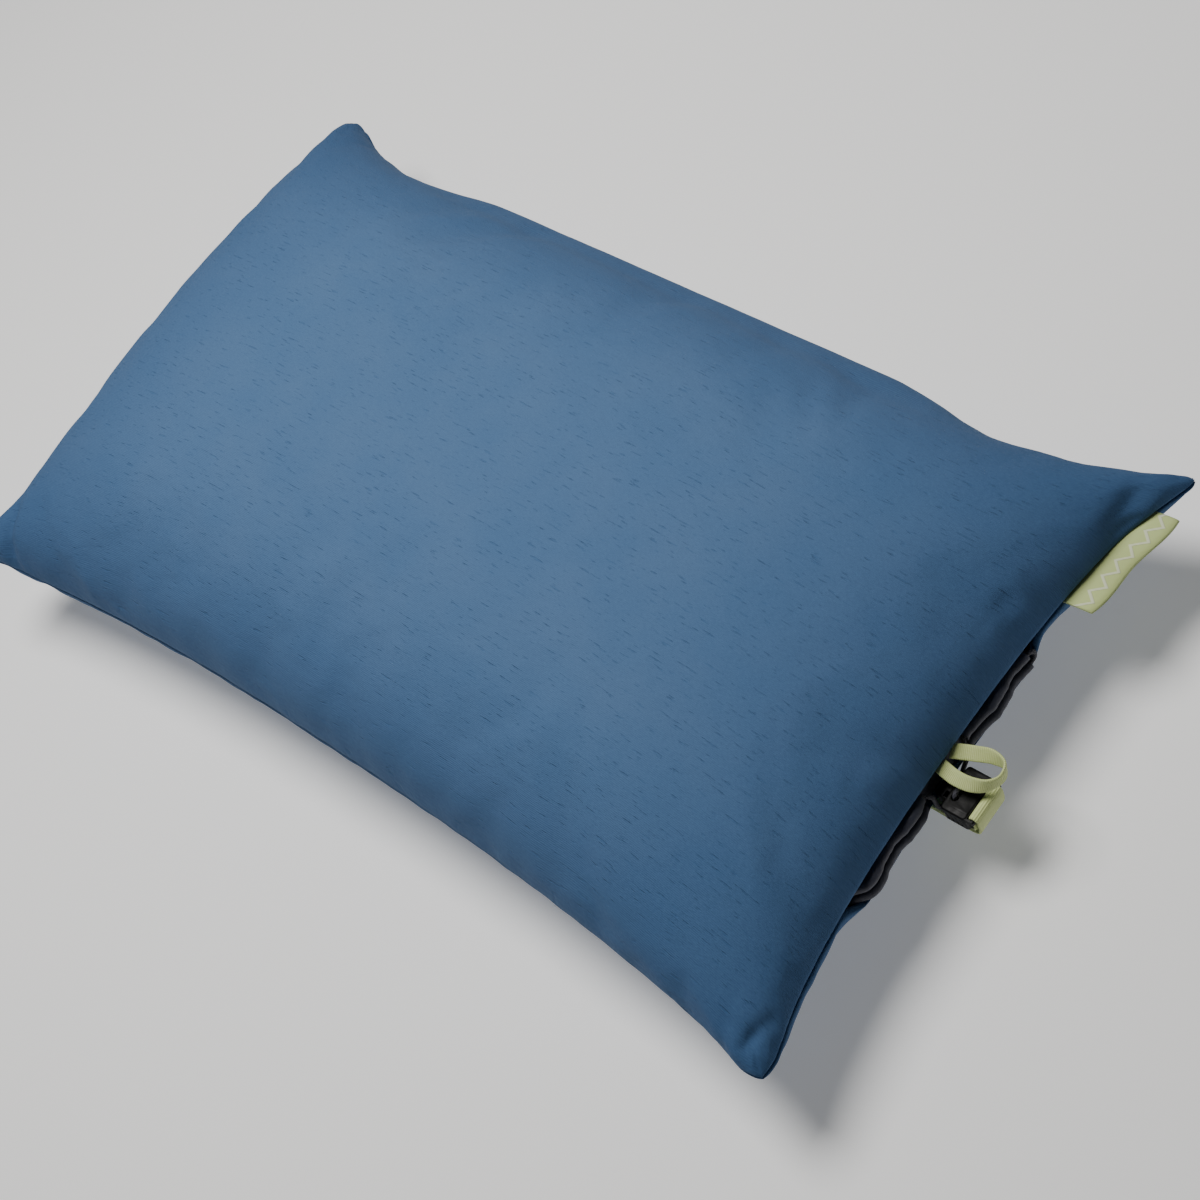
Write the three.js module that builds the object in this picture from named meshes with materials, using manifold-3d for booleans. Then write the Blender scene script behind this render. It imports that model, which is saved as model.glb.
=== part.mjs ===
// Camp pillow: an air cell under a foam topper, in a brushed cover made of two panels.
// One short end holds the stuff sack's drawcord mouth, with its cord lock, pull loop and
// side label. The rear long seam holds the cover's zip, and the belly holds the air valve.
// Millimetres. +Z is up, +X points to the labelled end and +Y to the zipped long side.
// The origin is the centre of the flat patch that the pillow rests on.
import * as THREE from 'three';
import Module from 'manifold-3d';
import { mergeVertices } from 'three/addons/utils/BufferGeometryUtils.js';

const wasm = await Module();
wasm.setup();

// Pillow outline and height
const LENGTH = 432;
const WIDTH = 254;
const SEAM_Z = 42;
const TOP_CROWN = 57;
const BELLY_DEPTH = 50;
const FULLNESS = 0.38;
const BOW_POWER = 2.6;
const PULL_LABEL_END = 13;
const PULL_PLAIN_END = 6;
const PULL_FRONT_SIDE = 14;
const PULL_ZIP_SIDE = 17;
const ZIP_STRAIGHT = 0.54;
const CLEARANCE = 0.3;

// Layers from the outside in
const COVER_WALL = 1.6;
const FOAM_INSET = 6;
const FOAM_OUTER_RISE = 54.6;
const FOAM_INNER_RISE = 37.6;
const FOAM_REACH = 0.95;
const CELL_INSET = 10.5;
const CELL_TOP_RISE = 36.6;
const CELL_BELLY_RISE = 43.4;
const CELL_FLOOR = 6;
const CELL_WALL = 0.8;
const PANEL_COLUMNS = 22;
const PANEL_ROWS = 14;
const INNER_COLUMNS = 22;
const INNER_ROWS = 14;
const PLAN_PASSES = 8;
const WHOLE_PLAN = { u: [-1, 1], v: [-1, 1] };

// Welded webs inside the air cell
const BAFFLE_ROWS_Y = [-66, -22, 22, 66];
const BAFFLE_HALF_LENGTH = 144;
const BAFFLE_WALL = 0.8;
const BAFFLE_SHORTFALL = 1.8;
const BAFFLE_STEPS = 16;

// Stuff sack, folded flat under the air cell
const SACK_SPAN = { u: [0.42, 0.86], v: [-0.6, 0.48] };
const SACK_HOLLOW_SPAN = { u: [0.43, 0.9], v: [-0.58, 0.46] };
const SACK_UPPER = { inset: 9, rise: -44.6, floor: 5 };
const SACK_LOWER = { inset: 5, rise: -46.4, floor: 2.6 };
const SACK_HOLLOW_UPPER = { inset: 8, rise: -45, floor: 4.3 };
const SACK_HOLLOW_LOWER = { inset: 6, rise: -46, floor: 3.3 };
const SACK_STEPS = 8;

// Drawcord channels on the lips of the mouth
const CHANNEL_OUT = 2.1;
const CHANNEL_DEPTH = 3.2;
const CHANNEL_HEIGHT = 4.2;
const CHANNEL_BORE = 2.6;
const CHANNEL_STEPS = 10;
const CHANNEL_CURVE_STEPS = 4;
const UPPER_LIP_Z = SEAM_Z - 2.7;
const LOWER_LIP_Z = SEAM_Z - 8.9;
const MOUTH_FRONT_Y = -85;
const MOUTH_REAR_Y = 45;
const MOUTH_GAP_Y = [-17, 9];
const SCALLOP_PITCH = 25;
const SCALLOP_HEIGHT = 0.7;
const CORD_DIAMETER = 1.8;
const CORD_STATION = 6;
const CORD_STEPS = 120;
const CORD_CURVE_STEPS = 3;
const CORD_END_INSET = 2;
const CORD_TURN_SHOULDER = 2.7;
const CORD_TURN_REACH = 3.6;
const CORD_TURN_INSET = 1;
const CORD_LIP_EXIT = 0.6;
const CORD_LIP_SAG = 0.1;

// Cord lock
const LOCK_Y = -6.8;
const LOCK_Z = SEAM_Z - 11;
const LOCK_X = 207.6;
const LOCK_BLOCK_LENGTH = 10.6;
const LOCK_CORNER = 1.4;
const LOCK_CORNER_STEPS = 3;
const LOCK_WIDTH = 18;
const LOCK_HEIGHT = 9;
const LOCK_POCKET_DEPTH = 9.2;
const PLUNGER_WIDTH = 10;
const PLUNGER_HEIGHT = 6;
const PLUNGER_X = 202.4;
const PLUNGER_LENGTH = 10.8;
const PLUNGER_TRAVEL = 3.4;
const PLUNGER_BORE_RADIUS = 1.85;
const PLUNGER_BORE_DEPTH = 6.2;
const PLUNGER_SLOT_HALF = 1.15;
const PLUNGER_SLOT_NEAR = 1.3;
const PLUNGER_SLOT_FAR = 1.2;
const SPRING_RADIUS = 1.4;
const SPRING_WIRE = 0.45;
const SPRING_TURNS = 5;
const SPRING_SEAT = 6;
const SPRING_STEPS_A_TURN = 8;
const SPRING_CURVE_STEPS = 3;
const CORD_HOLE_X = 210.4;
const CORD_HOLE_SPREAD = 3.3;
const CORD_HOLE_RADIUS = 1.5;
const HOLE_SIDES = 12;
const BORE_SIDES = 16;
const STRAP_BAR_X = 220;
const STRAP_BAR_DEPTH = 1.3;
const STRAP_BAR_HEIGHT = 2.2;
const STRAP_FRAME_INSET = 0.4;
const STRAP_FRAME_DROP = 0.3;
const STRAP_WIDTH = 15;
const STRAP_THICKNESS = 1.1;
const STRAP_SAMPLES = 32;

// Drawcord from the upper lip to its hole in the lock. Each row is X, the distance along Y
// from the edge of the mouth's gap or from the lock's middle, and Z.
const LOCK_TOP = LOCK_Z + LOCK_HEIGHT / 2;
const LOCK_BOTTOM = LOCK_Z - LOCK_HEIGHT / 2;
const CORD_UNDER_Z = LOCK_BOTTOM - CLEARANCE - CORD_DIAMETER / 2;
const CORD_OVER_Z = LOCK_TOP + 2 * CLEARANCE + CORD_DIAMETER / 2;
const CORD_OFF_LIP = [[204.6, -2.4, UPPER_LIP_Z - 2], [204, -2.9, LOCK_Z + 1.5]];
const CORD_TO_LOCK = [
  [204.2, 7, LOCK_Z - 3.2],
  [206, 4.6, CORD_UNDER_Z + 0.2],
  [208.6, CORD_HOLE_SPREAD, CORD_UNDER_Z],
  [CORD_HOLE_X - 0.15, CORD_HOLE_SPREAD, CORD_UNDER_Z + 0.9],
  [CORD_HOLE_X, CORD_HOLE_SPREAD, LOCK_Z - 3],
  [CORD_HOLE_X, CORD_HOLE_SPREAD, LOCK_Z + 3.6],
  [CORD_HOLE_X, CORD_HOLE_SPREAD, LOCK_TOP + 0.3],
  [CORD_HOLE_X, CORD_HOLE_SPREAD - 0.9, LOCK_TOP + 1.15],
];

// Lock strap in its middle plane: X, and the depth below the lock's top
const STRAP_SLOT_X = (LOCK_X + LOCK_BLOCK_LENGTH + STRAP_BAR_X) / 2;
const STRAP_OUT_X = STRAP_BAR_X + STRAP_BAR_DEPTH + 0.9;
const STRAP_ROUTE = [
  [197.4, 11.4], [206, 11.7], [213, 11.7], [217.2, 11.4],
  [STRAP_SLOT_X, 9.2], [STRAP_SLOT_X, 5], [STRAP_SLOT_X, 0.9], [STRAP_SLOT_X + 0.6, -0.3],
  [(STRAP_SLOT_X + STRAP_OUT_X) / 2, -0.75], [STRAP_OUT_X - 0.5, -0.3], [STRAP_OUT_X, 1],
  [STRAP_OUT_X - 0.2, 3.6], [STRAP_OUT_X - 1.3, 9.6], [STRAP_OUT_X - 2.6, 12.4],
  [217.2, 13.4], [206, 13.6], [197.4, 13.2],
];

// Pull loop and side label
const LOOP_WIDTH = 5;
const LOOP_THICKNESS = 1;
const LOOP_STEPS = 30;
const LOOP_FLAT_LEAN = 0.35;
const LOOP_BEND_LEAN = 0.75;
const LOOP_TANGENT_STEP = 0.01;
const LOOP_ROUTE = [
  [205.6, -5.2], [210, -5.8], [216, -5.2], [221, -2.6], [223.6, 2], [221.8, 6.2],
  [216.6, 6.6], [210.6, 4.6], [205.6, 2.6],
];
const LABEL_Y = [68, 112];
const LABEL_REACH = 10.2;
const LABEL_THICKNESS = 1.6;
const LABEL_START = 0.5;
const LABEL_TAPER = 0.16;
const LABEL_TAPER_POWER = 6;
const LABEL_STEPS = [3, 12];

// Zip on the rear seam
const ZIP_Y = WIDTH / 2 - PULL_ZIP_SIDE + 3;
const ZIP_LENGTH = 200;
const COIL_WIDTH = 2;
const COIL_DEPTH = 2.2;
const COIL_SPLIT = 1.3;
const TAPE_WIDTH = 5.6;
const TAPE_THICKNESS = 0.7;
const TAPE_RUN_ON = 6;
const STOP_LENGTH = 3.4;
const STOP_HALF_DEPTH = 1.4;
const CLOSED_STOP_START = 4;
const SLIDER_X = -92;
const SLIDER_LENGTH = 9;
const SLIDER_WIDTH = 8;
const SLIDER_PLATE = 1;
const SLIDER_WEB = 0.7;
const SLIDER_WEB_LENGTH = 2.6;
const SLIDER_WEB_INSET = 0.2;
const BAIL_HALF_LENGTH = 3;
const BAIL_HALF_WIDTH = 0.8;
const BAIL_WALL = 0.9;
const BAIL_ROOT = 0.3;
const EYE_HALF_LENGTH = 1.9;
const EYE_HALF_WIDTH = 2;
const PULL_LENGTH = 18;
const PULL_WIDTH = 5.4;
const PULL_THICKNESS = 1;
const PULL_LIFT = 0.9;
const PULL_WINDOW_END = 6;
const PULL_WINDOW_HALF = 1.3;

// Valve on the belly, near the plain end
const VALVE_X = -166;
const VALVE_Y = 64;
const VALVE_NECK_RADIUS = 9;
const VALVE_BORE_RADIUS = 7.5;
const VALVE_FLANGE_RADIUS = 17;
const VALVE_COVER_HOLE = 12.5;
const VALVE_CELL_HOLE = 9.5;
const VALVE_FLANGE_DEPTH = 10.5;
const ROUND_STEPS = 28;

// Valve outlines about its axis: radius, and height above the belly
const FLANGE_OUTLINE = [
  [VALVE_BORE_RADIUS, -VALVE_FLANGE_DEPTH],
  [VALVE_FLANGE_RADIUS, -VALVE_FLANGE_DEPTH],
  [VALVE_FLANGE_RADIUS, 1 - VALVE_FLANGE_DEPTH],
  [VALVE_NECK_RADIUS, 1.4 - VALVE_FLANGE_DEPTH],
  [VALVE_NECK_RADIUS, 1.2],
  [VALVE_BORE_RADIUS, 1.2],
  [VALVE_BORE_RADIUS, -VALVE_FLANGE_DEPTH],
];
const PLUG_OUTLINE = [[3.5, -2.2], [6.6, -2.2], [7.2, 1.5], [10, 1.5], [10, 2.7], [3.5, 2.7], [3.5, -2.2]];
const DIAPHRAGM_OUTLINE = [[0, -3.3], [5, -3.3], [5, -2.5], [0, -2.5]];
const CAP_OUTLINE = [[0, 0.4], [2.9, 0.4], [3.2, 3], [6.5, 3], [6.5, 3.9], [5.9, 4.3], [0, 4.3]];

const palette = {
  cover: { color: 0x4e7396, roughness: 0.92, metalness: 0 },
  darkCloth: { color: 0x3d3a40, roughness: 0.85, metalness: 0 },
  lime: { color: 0xd6e08f, roughness: 0.8, metalness: 0 },
  blackPlastic: { color: 0x26262a, roughness: 0.45, metalness: 0 },
  steel: { color: 0xb8bcc2, roughness: 0.3, metalness: 1 },
  foam: { color: 0xe9e4d2, roughness: 0.95, metalness: 0 },
  cellFilm: { color: 0x9aa3ad, roughness: 0.5, metalness: 0 },
  zipTape: { color: 0x2c4a68, roughness: 0.85, metalness: 0 },
  valvePlastic: { color: 0x55595f, roughness: 0.5, metalness: 0 },
  silicone: { color: 0xdedede, roughness: 0.6, metalness: 0 },
};

const pillow = new THREE.Group();

function addMesh(name, geometry, finish, parent = pillow) {
  const mesh = new THREE.Mesh(geometry, new THREE.MeshStandardMaterial(palette[finish]));
  mesh.name = name;
  parent.add(mesh);
  return mesh;
}

// Welds a geometry's vertices by place, so that it is one closed body.
function welded(geometry) {
  geometry.deleteAttribute('normal');
  geometry.deleteAttribute('uv');
  return mergeVertices(geometry, 1e-4);
}

// Moves every vertex of a closed geometry to the point that place gives for it.
function shaped(geometry, place) {
  const position = geometry.attributes.position;
  const from = new THREE.Vector3();
  for (let i = 0; i < position.count; i += 1) {
    from.fromBufferAttribute(position, i);
    const to = place(from);
    position.setXYZ(i, to.x, to.y, to.z);
  }
  return welded(geometry);
}

function toSolid(geometry) {
  const body = welded(geometry.clone());
  return new wasm.Manifold(new wasm.Mesh({
    numProp: 3,
    vertProperties: new Float32Array(body.attributes.position.array),
    triVerts: new Uint32Array(body.index.array),
  }));
}

function toGeometry(solid) {
  const mesh = solid.getMesh();
  const geometry = new THREE.BufferGeometry();
  geometry.setAttribute('position', new THREE.BufferAttribute(mesh.vertProperties, 3));
  geometry.setIndex(new THREE.BufferAttribute(mesh.triVerts, 1));
  return geometry;
}

function cut(base, ...tools) {
  return toGeometry(tools.reduce((solid, tool) => solid.subtract(toSolid(tool)), toSolid(base)));
}

function join(base, ...others) {
  return toGeometry(others.reduce((solid, other) => solid.add(toSolid(other)), toSolid(base)));
}

// Box between two corners.
function boxBetween(low, high) {
  const size = high.map((value, i) => value - low[i]);
  const box = new THREE.BoxGeometry(...size);
  box.translate(...high.map((value, i) => (value + low[i]) / 2));
  return box;
}

// Box with its four long edges rounded, standing along Z between two corners.
function roundedBlock(low, high, radius) {
  const width = high[0] - low[0];
  const depth = high[1] - low[1];
  const outline = new THREE.Shape();
  outline.moveTo(radius, 0);
  outline.lineTo(width - radius, 0);
  outline.absarc(width - radius, radius, radius, -Math.PI / 2, 0);
  outline.absarc(width - radius, depth - radius, radius, 0, Math.PI / 2);
  outline.absarc(radius, depth - radius, radius, Math.PI / 2, Math.PI);
  outline.absarc(radius, radius, radius, Math.PI, Math.PI * 1.5);
  const block = new THREE.ExtrudeGeometry(outline, {
    depth: high[2] - low[2], bevelEnabled: false, curveSegments: LOCK_CORNER_STEPS,
  });
  block.translate(...low);
  return block;
}

const bow = (t) => 1 - Math.abs(t) ** BOW_POWER;

// The zip holds the middle of the rear seam straight.
function zipBow(t) {
  const beyond = Math.max(0, (Math.abs(t) - ZIP_STRAIGHT) / (1 - ZIP_STRAIGHT));
  return 1 - beyond ** BOW_POWER;
}

const endPull = (u, v) => (u > 0 ? PULL_LABEL_END : PULL_PLAIN_END) * bow(v);
const sidePull = (u, v) => (v > 0 ? PULL_ZIP_SIDE * zipBow(u) : PULL_FRONT_SIDE * bow(u));
const halfLength = (u, v, inset) => LENGTH / 2 - inset - endPull(u, v);
const halfWidth = (u, v, inset) => WIDTH / 2 - inset - sidePull(u, v);

// A layer is a pillow-shaped surface. Its rise is the crown above the seam plane, negative
// for a belly, and floor is the lowest that it reaches. u and v run from -1 to 1 in plan.
function layerHeight(u, v, layer) {
  const swell = Math.max(0, (1 - u * u) * (1 - v * v)) ** FULLNESS;
  const side = Math.sign(layer.rise) * CLEARANCE / 2;
  return Math.max(layer.floor ?? 0, SEAM_Z + side + layer.rise * swell);
}

function layerPoint(u, v, layer) {
  const x = u * halfLength(u, v, layer.inset);
  const y = v * halfWidth(u, v, layer.inset);
  return new THREE.Vector3(x, y, layerHeight(u, v, layer));
}

// Height of a layer over a point in plan.
function heightOver(x, y, layer) {
  let u = x / (LENGTH / 2);
  let v = y / (WIDTH / 2);
  for (let pass = 0; pass < PLAN_PASSES; pass += 1) {
    u = x / halfLength(u, v, layer.inset);
    v = y / halfWidth(u, v, layer.inset);
  }
  return layerHeight(u, v, layer);
}

// Closed sheet between an upper and a lower layer, over a span of the plan, with its
// columns and rows closer together towards the edges.
function sheetBetween(upper, lower, columns, rows, span = WHOLE_PLAN) {
  const spread = (t, [low, high]) => (low + high + (high - low) * Math.sin(t * Math.PI / 2)) / 2;
  const box = new THREE.BoxGeometry(2, 2, 2, columns, rows, 1);
  return shaped(box, (p) => {
    const layer = p.z > 0 ? upper : lower;
    return layerPoint(spread(p.x, span.u), spread(p.y, span.v), layer);
  });
}

// X of the cover's seam at the labelled end.
const seamX = (y) => LENGTH / 2 - PULL_LABEL_END * bow(y / (WIDTH / 2));

// Where the valve's axis leaves the belly, and the way that it points.
const coverBelly = { inset: 0, rise: -BELLY_DEPTH };
const valvePlace = new THREE.Vector3(VALVE_X, VALVE_Y, heightOver(VALVE_X, VALVE_Y, coverBelly));
const bellyOver = (x, y) => heightOver(x, y, coverBelly);
const slopeX = (bellyOver(VALVE_X + 1, VALVE_Y) - bellyOver(VALVE_X - 1, VALVE_Y)) / 2;
const slopeY = (bellyOver(VALVE_X, VALVE_Y + 1) - bellyOver(VALVE_X, VALVE_Y - 1)) / 2;
const valveOut = new THREE.Vector3(slopeX, slopeY, -1).normalize();
const valveHingeAxis = new THREE.Vector3(0, 1, 0).cross(valveOut).normalize();
const valveReach = new THREE.Vector3().crossVectors(valveOut, valveHingeAxis);
const valveMatrix = new THREE.Matrix4().makeBasis(valveHingeAxis, valveReach, valveOut)
  .setPosition(valvePlace);

// Cylinder along the valve's axis, from one height above the belly to another.
function valveCylinder(radius, low, high) {
  const cylinder = new THREE.CylinderGeometry(radius, radius, high - low, ROUND_STEPS);
  cylinder.rotateX(Math.PI / 2);
  cylinder.translate(0, 0, (low + high) / 2);
  return cylinder;
}

function addCover() {
  const crown = { inset: 0, rise: TOP_CROWN };
  const crownInside = { inset: COVER_WALL, rise: TOP_CROWN - COVER_WALL };
  const belly = { ...coverBelly, floor: 0 };
  const bellyInside = { inset: COVER_WALL, rise: COVER_WALL - BELLY_DEPTH, floor: COVER_WALL };
  addMesh('cover_top_panel', sheetBetween(crown, crownInside, PANEL_COLUMNS, PANEL_ROWS), 'cover');
  const panel = sheetBetween(bellyInside, belly, PANEL_COLUMNS, PANEL_ROWS);
  const hole = valveCylinder(VALVE_COVER_HOLE, -VALVE_FLANGE_DEPTH, VALVE_FLANGE_DEPTH);
  addMesh('cover_bottom_panel', cut(panel, hole.applyMatrix4(valveMatrix)), 'cover');
}

function addFoam() {
  const outer = { inset: FOAM_INSET, rise: FOAM_OUTER_RISE };
  const inner = { inset: FOAM_INSET, rise: FOAM_INNER_RISE };
  const span = { u: [-FOAM_REACH, FOAM_REACH], v: [-FOAM_REACH, FOAM_REACH] };
  addMesh('foam_topper', sheetBetween(outer, inner, INNER_COLUMNS, INNER_ROWS, span), 'foam');
}

const cellTopInside = { inset: CELL_INSET + CELL_WALL, rise: CELL_TOP_RISE - CELL_WALL };
const cellBellyInside = {
  inset: CELL_INSET + CELL_WALL, rise: CELL_WALL - CELL_BELLY_RISE, floor: CELL_FLOOR + CELL_WALL,
};

function addAirCell() {
  const top = { inset: CELL_INSET, rise: CELL_TOP_RISE };
  const belly = { inset: CELL_INSET, rise: -CELL_BELLY_RISE, floor: CELL_FLOOR };
  addMesh('air_cell_top_skin', sheetBetween(top, cellTopInside, INNER_COLUMNS, INNER_ROWS), 'cellFilm');
  const skin = sheetBetween(cellBellyInside, belly, INNER_COLUMNS, INNER_ROWS);
  const hole = valveCylinder(VALVE_CELL_HOLE, -2 * VALVE_FLANGE_DEPTH, 0);
  addMesh('air_cell_bottom_skin', cut(skin, hole.applyMatrix4(valveMatrix)), 'cellFilm');
}

function addBaffles() {
  BAFFLE_ROWS_Y.forEach((y, i) => {
    const web = new THREE.BoxGeometry(2 * BAFFLE_HALF_LENGTH, BAFFLE_WALL, 2, BAFFLE_STEPS, 1, 1);
    const geometry = shaped(web, (p) => {
      const layer = p.z > 0 ? cellTopInside : cellBellyInside;
      const z = heightOver(p.x, y + p.y, layer) - Math.sign(p.z) * BAFFLE_SHORTFALL;
      return new THREE.Vector3(p.x, y + p.y, z);
    });
    addMesh(`baffle_${i + 1}`, geometry, 'cellFilm');
  });
}

function addStuffSack() {
  const outside = sheetBetween(SACK_UPPER, SACK_LOWER, SACK_STEPS, SACK_STEPS, SACK_SPAN);
  const hollow = sheetBetween(SACK_HOLLOW_UPPER, SACK_HOLLOW_LOWER, SACK_STEPS, SACK_STEPS, SACK_HOLLOW_SPAN);
  addMesh('stuff_sack', cut(outside, hollow), 'darkCloth');
}

// The lips of the mouth wave in and out where the drawcord gathers them.
function lipX(y) {
  const scallop = SCALLOP_HEIGHT * Math.cos((2 * Math.PI * y) / SCALLOP_PITCH);
  return seamX(y) + CHANNEL_OUT + scallop;
}

// Sewn channel along the mouth, from one Y to another, open at both ends for the drawcord.
function channel(z, [low, high]) {
  const outline = new THREE.Shape();
  outline.absellipse(0, 0, CHANNEL_DEPTH / 2, CHANNEL_HEIGHT / 2, 0, 2 * Math.PI);
  const bore = new THREE.Path();
  bore.absarc(0, 0, CHANNEL_BORE / 2, 0, 2 * Math.PI, true);
  outline.holes.push(bore);
  const tube = new THREE.ExtrudeGeometry(outline, {
    depth: high - low, steps: CHANNEL_STEPS, bevelEnabled: false, curveSegments: CHANNEL_CURVE_STEPS,
  });
  return shaped(tube, (p) => new THREE.Vector3(lipX(high - p.z) + p.x, high - p.z, z + p.y));
}

function addMouth() {
  const front = [MOUTH_FRONT_Y, MOUTH_GAP_Y[0]];
  const rear = [MOUTH_GAP_Y[1], MOUTH_REAR_Y];
  addMesh('mouth_channel_upper_front', channel(UPPER_LIP_Z, front), 'darkCloth');
  addMesh('mouth_channel_upper_rear', channel(UPPER_LIP_Z, rear), 'darkCloth');
  addMesh('mouth_channel_lower_front', channel(LOWER_LIP_Z, front), 'darkCloth');
  addMesh('mouth_channel_lower_rear', channel(LOWER_LIP_Z, rear), 'darkCloth');
}

// Half of the drawcord's route, from the end sewn in the lower lip, round the corner of the
// mouth, back along the upper lip and under the cord lock to its hole. turnY is where it
// turns, way is the side of the lock that it comes from, -1 front or 1 rear.
function cordHalf(turnY, gapY, way) {
  const lipPoint = (y, z) => [lipX(y), y, z];
  const inner = gapY + way * CORD_END_INSET;
  const steps = Math.round(Math.abs(turnY - inner) / CORD_STATION);
  const stations = Array.from({ length: steps + 1 }, (_, i) => inner + ((turnY - inner) * i) / steps);
  const shoulderY = turnY + way * CORD_TURN_SHOULDER;
  const midZ = (UPPER_LIP_Z + LOWER_LIP_Z) / 2;
  return [
    ...stations.map((y) => lipPoint(y, LOWER_LIP_Z)),
    lipPoint(shoulderY, LOWER_LIP_Z + CORD_TURN_INSET),
    lipPoint(turnY + way * CORD_TURN_REACH, midZ),
    lipPoint(shoulderY, UPPER_LIP_Z - CORD_TURN_INSET),
    ...stations.reverse().map((y) => lipPoint(y, UPPER_LIP_Z)),
    lipPoint(gapY - way * CORD_LIP_EXIT, UPPER_LIP_Z - CORD_LIP_SAG),
    ...CORD_OFF_LIP.map(([x, y, z]) => [x, gapY + way * y, z]),
    ...CORD_TO_LOCK.map(([x, y, z]) => [x, LOCK_Y + way * y, z]),
  ];
}

function addDrawcord() {
  const route = [
    ...cordHalf(MOUTH_FRONT_Y, MOUTH_GAP_Y[0], -1),
    [CORD_HOLE_X, LOCK_Y, CORD_OVER_Z],
    ...cordHalf(MOUTH_REAR_Y, MOUTH_GAP_Y[1], 1).reverse(),
  ];
  const path = new THREE.CatmullRomCurve3(route.map((p) => new THREE.Vector3(...p)), false, 'centripetal');
  const outline = new THREE.Shape();
  outline.absarc(0, 0, CORD_DIAMETER / 2, 0, 2 * Math.PI);
  const cord = new THREE.ExtrudeGeometry(outline, {
    extrudePath: path, steps: CORD_STEPS, bevelEnabled: false, curveSegments: CORD_CURVE_STEPS,
  });
  addMesh('drawcord', welded(cord), 'darkCloth');
}

function addCordLock() {
  const front = LOCK_Y - LOCK_WIDTH / 2;
  const rear = LOCK_Y + LOCK_WIDTH / 2;
  const blockEnd = LOCK_X + LOCK_BLOCK_LENGTH;
  const barEnd = STRAP_BAR_X + STRAP_BAR_DEPTH;
  const frameTop = LOCK_TOP - STRAP_FRAME_DROP;
  const block = roundedBlock([LOCK_X, front, LOCK_BOTTOM], [blockEnd, rear, LOCK_TOP], LOCK_CORNER);
  const frame = boxBetween(
    [blockEnd - 1, front + STRAP_FRAME_INSET, frameTop - STRAP_BAR_HEIGHT],
    [barEnd, rear - STRAP_FRAME_INSET, frameTop],
  );
  const slotHalf = STRAP_WIDTH / 2 + CLEARANCE;
  const slot = boxBetween(
    [blockEnd, LOCK_Y - slotHalf, LOCK_BOTTOM], [STRAP_BAR_X, LOCK_Y + slotHalf, LOCK_TOP + 1],
  );
  const pocketY = PLUNGER_WIDTH / 2 + CLEARANCE;
  const pocketZ = PLUNGER_HEIGHT / 2 + CLEARANCE;
  const pocket = boxBetween(
    [LOCK_X - 1, LOCK_Y - pocketY, LOCK_Z - pocketZ],
    [LOCK_X + LOCK_POCKET_DEPTH, LOCK_Y + pocketY, LOCK_Z + pocketZ],
  );
  const holes = [-1, 1].map((way) => {
    const hole = new THREE.CylinderGeometry(CORD_HOLE_RADIUS, CORD_HOLE_RADIUS, LOCK_HEIGHT * 2, HOLE_SIDES);
    return hole.rotateX(Math.PI / 2).translate(CORD_HOLE_X, LOCK_Y + way * CORD_HOLE_SPREAD, LOCK_Z);
  });
  addMesh('cord_lock_body', cut(join(block, frame), slot, pocket, ...holes), 'blackPlastic');
}

function addLockButton() {
  const plungerEnd = PLUNGER_X + PLUNGER_LENGTH;
  const button = boxBetween(
    [PLUNGER_X, LOCK_Y - PLUNGER_WIDTH / 2, LOCK_Z - PLUNGER_HEIGHT / 2],
    [plungerEnd, LOCK_Y + PLUNGER_WIDTH / 2, LOCK_Z + PLUNGER_HEIGHT / 2],
  );
  const slotStart = CORD_HOLE_X - PLUNGER_SLOT_FAR - PLUNGER_TRAVEL;
  const slotEnd = CORD_HOLE_X + PLUNGER_SLOT_NEAR;
  const cordSlots = [-1, 1].map((way) => {
    const y = LOCK_Y + way * CORD_HOLE_SPREAD;
    return boxBetween(
      [slotStart, y - PLUNGER_SLOT_HALF, LOCK_Z - LOCK_HEIGHT],
      [slotEnd, y + PLUNGER_SLOT_HALF, LOCK_Z + LOCK_HEIGHT],
    );
  });
  const bore = new THREE.CylinderGeometry(
    PLUNGER_BORE_RADIUS, PLUNGER_BORE_RADIUS, 2 * PLUNGER_BORE_DEPTH, BORE_SIDES,
  );
  bore.rotateZ(Math.PI / 2).translate(plungerEnd, LOCK_Y, LOCK_Z);
  addMesh('cord_lock_plunger', cut(button, bore, ...cordSlots), 'blackPlastic');
}

function addLockSpring() {
  const start = PLUNGER_X + PLUNGER_LENGTH - SPRING_SEAT;
  const end = LOCK_X + LOCK_POCKET_DEPTH - CLEARANCE - SPRING_WIRE / 2;
  class Helix extends THREE.Curve {
    getPoint(t, target = new THREE.Vector3()) {
      const angle = t * SPRING_TURNS * 2 * Math.PI;
      const y = LOCK_Y + SPRING_RADIUS * Math.cos(angle);
      const z = LOCK_Z + SPRING_RADIUS * Math.sin(angle);
      return target.set(start + (end - start) * t, y, z);
    }
  }
  const outline = new THREE.Shape();
  outline.absarc(0, 0, SPRING_WIRE / 2, 0, 2 * Math.PI);
  const wire = new THREE.ExtrudeGeometry(outline, {
    extrudePath: new Helix(), steps: SPRING_TURNS * SPRING_STEPS_A_TURN, bevelEnabled: false,
    curveSegments: SPRING_CURVE_STEPS,
  });
  addMesh('cord_lock_spring', welded(wire), 'steel');
}

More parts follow.
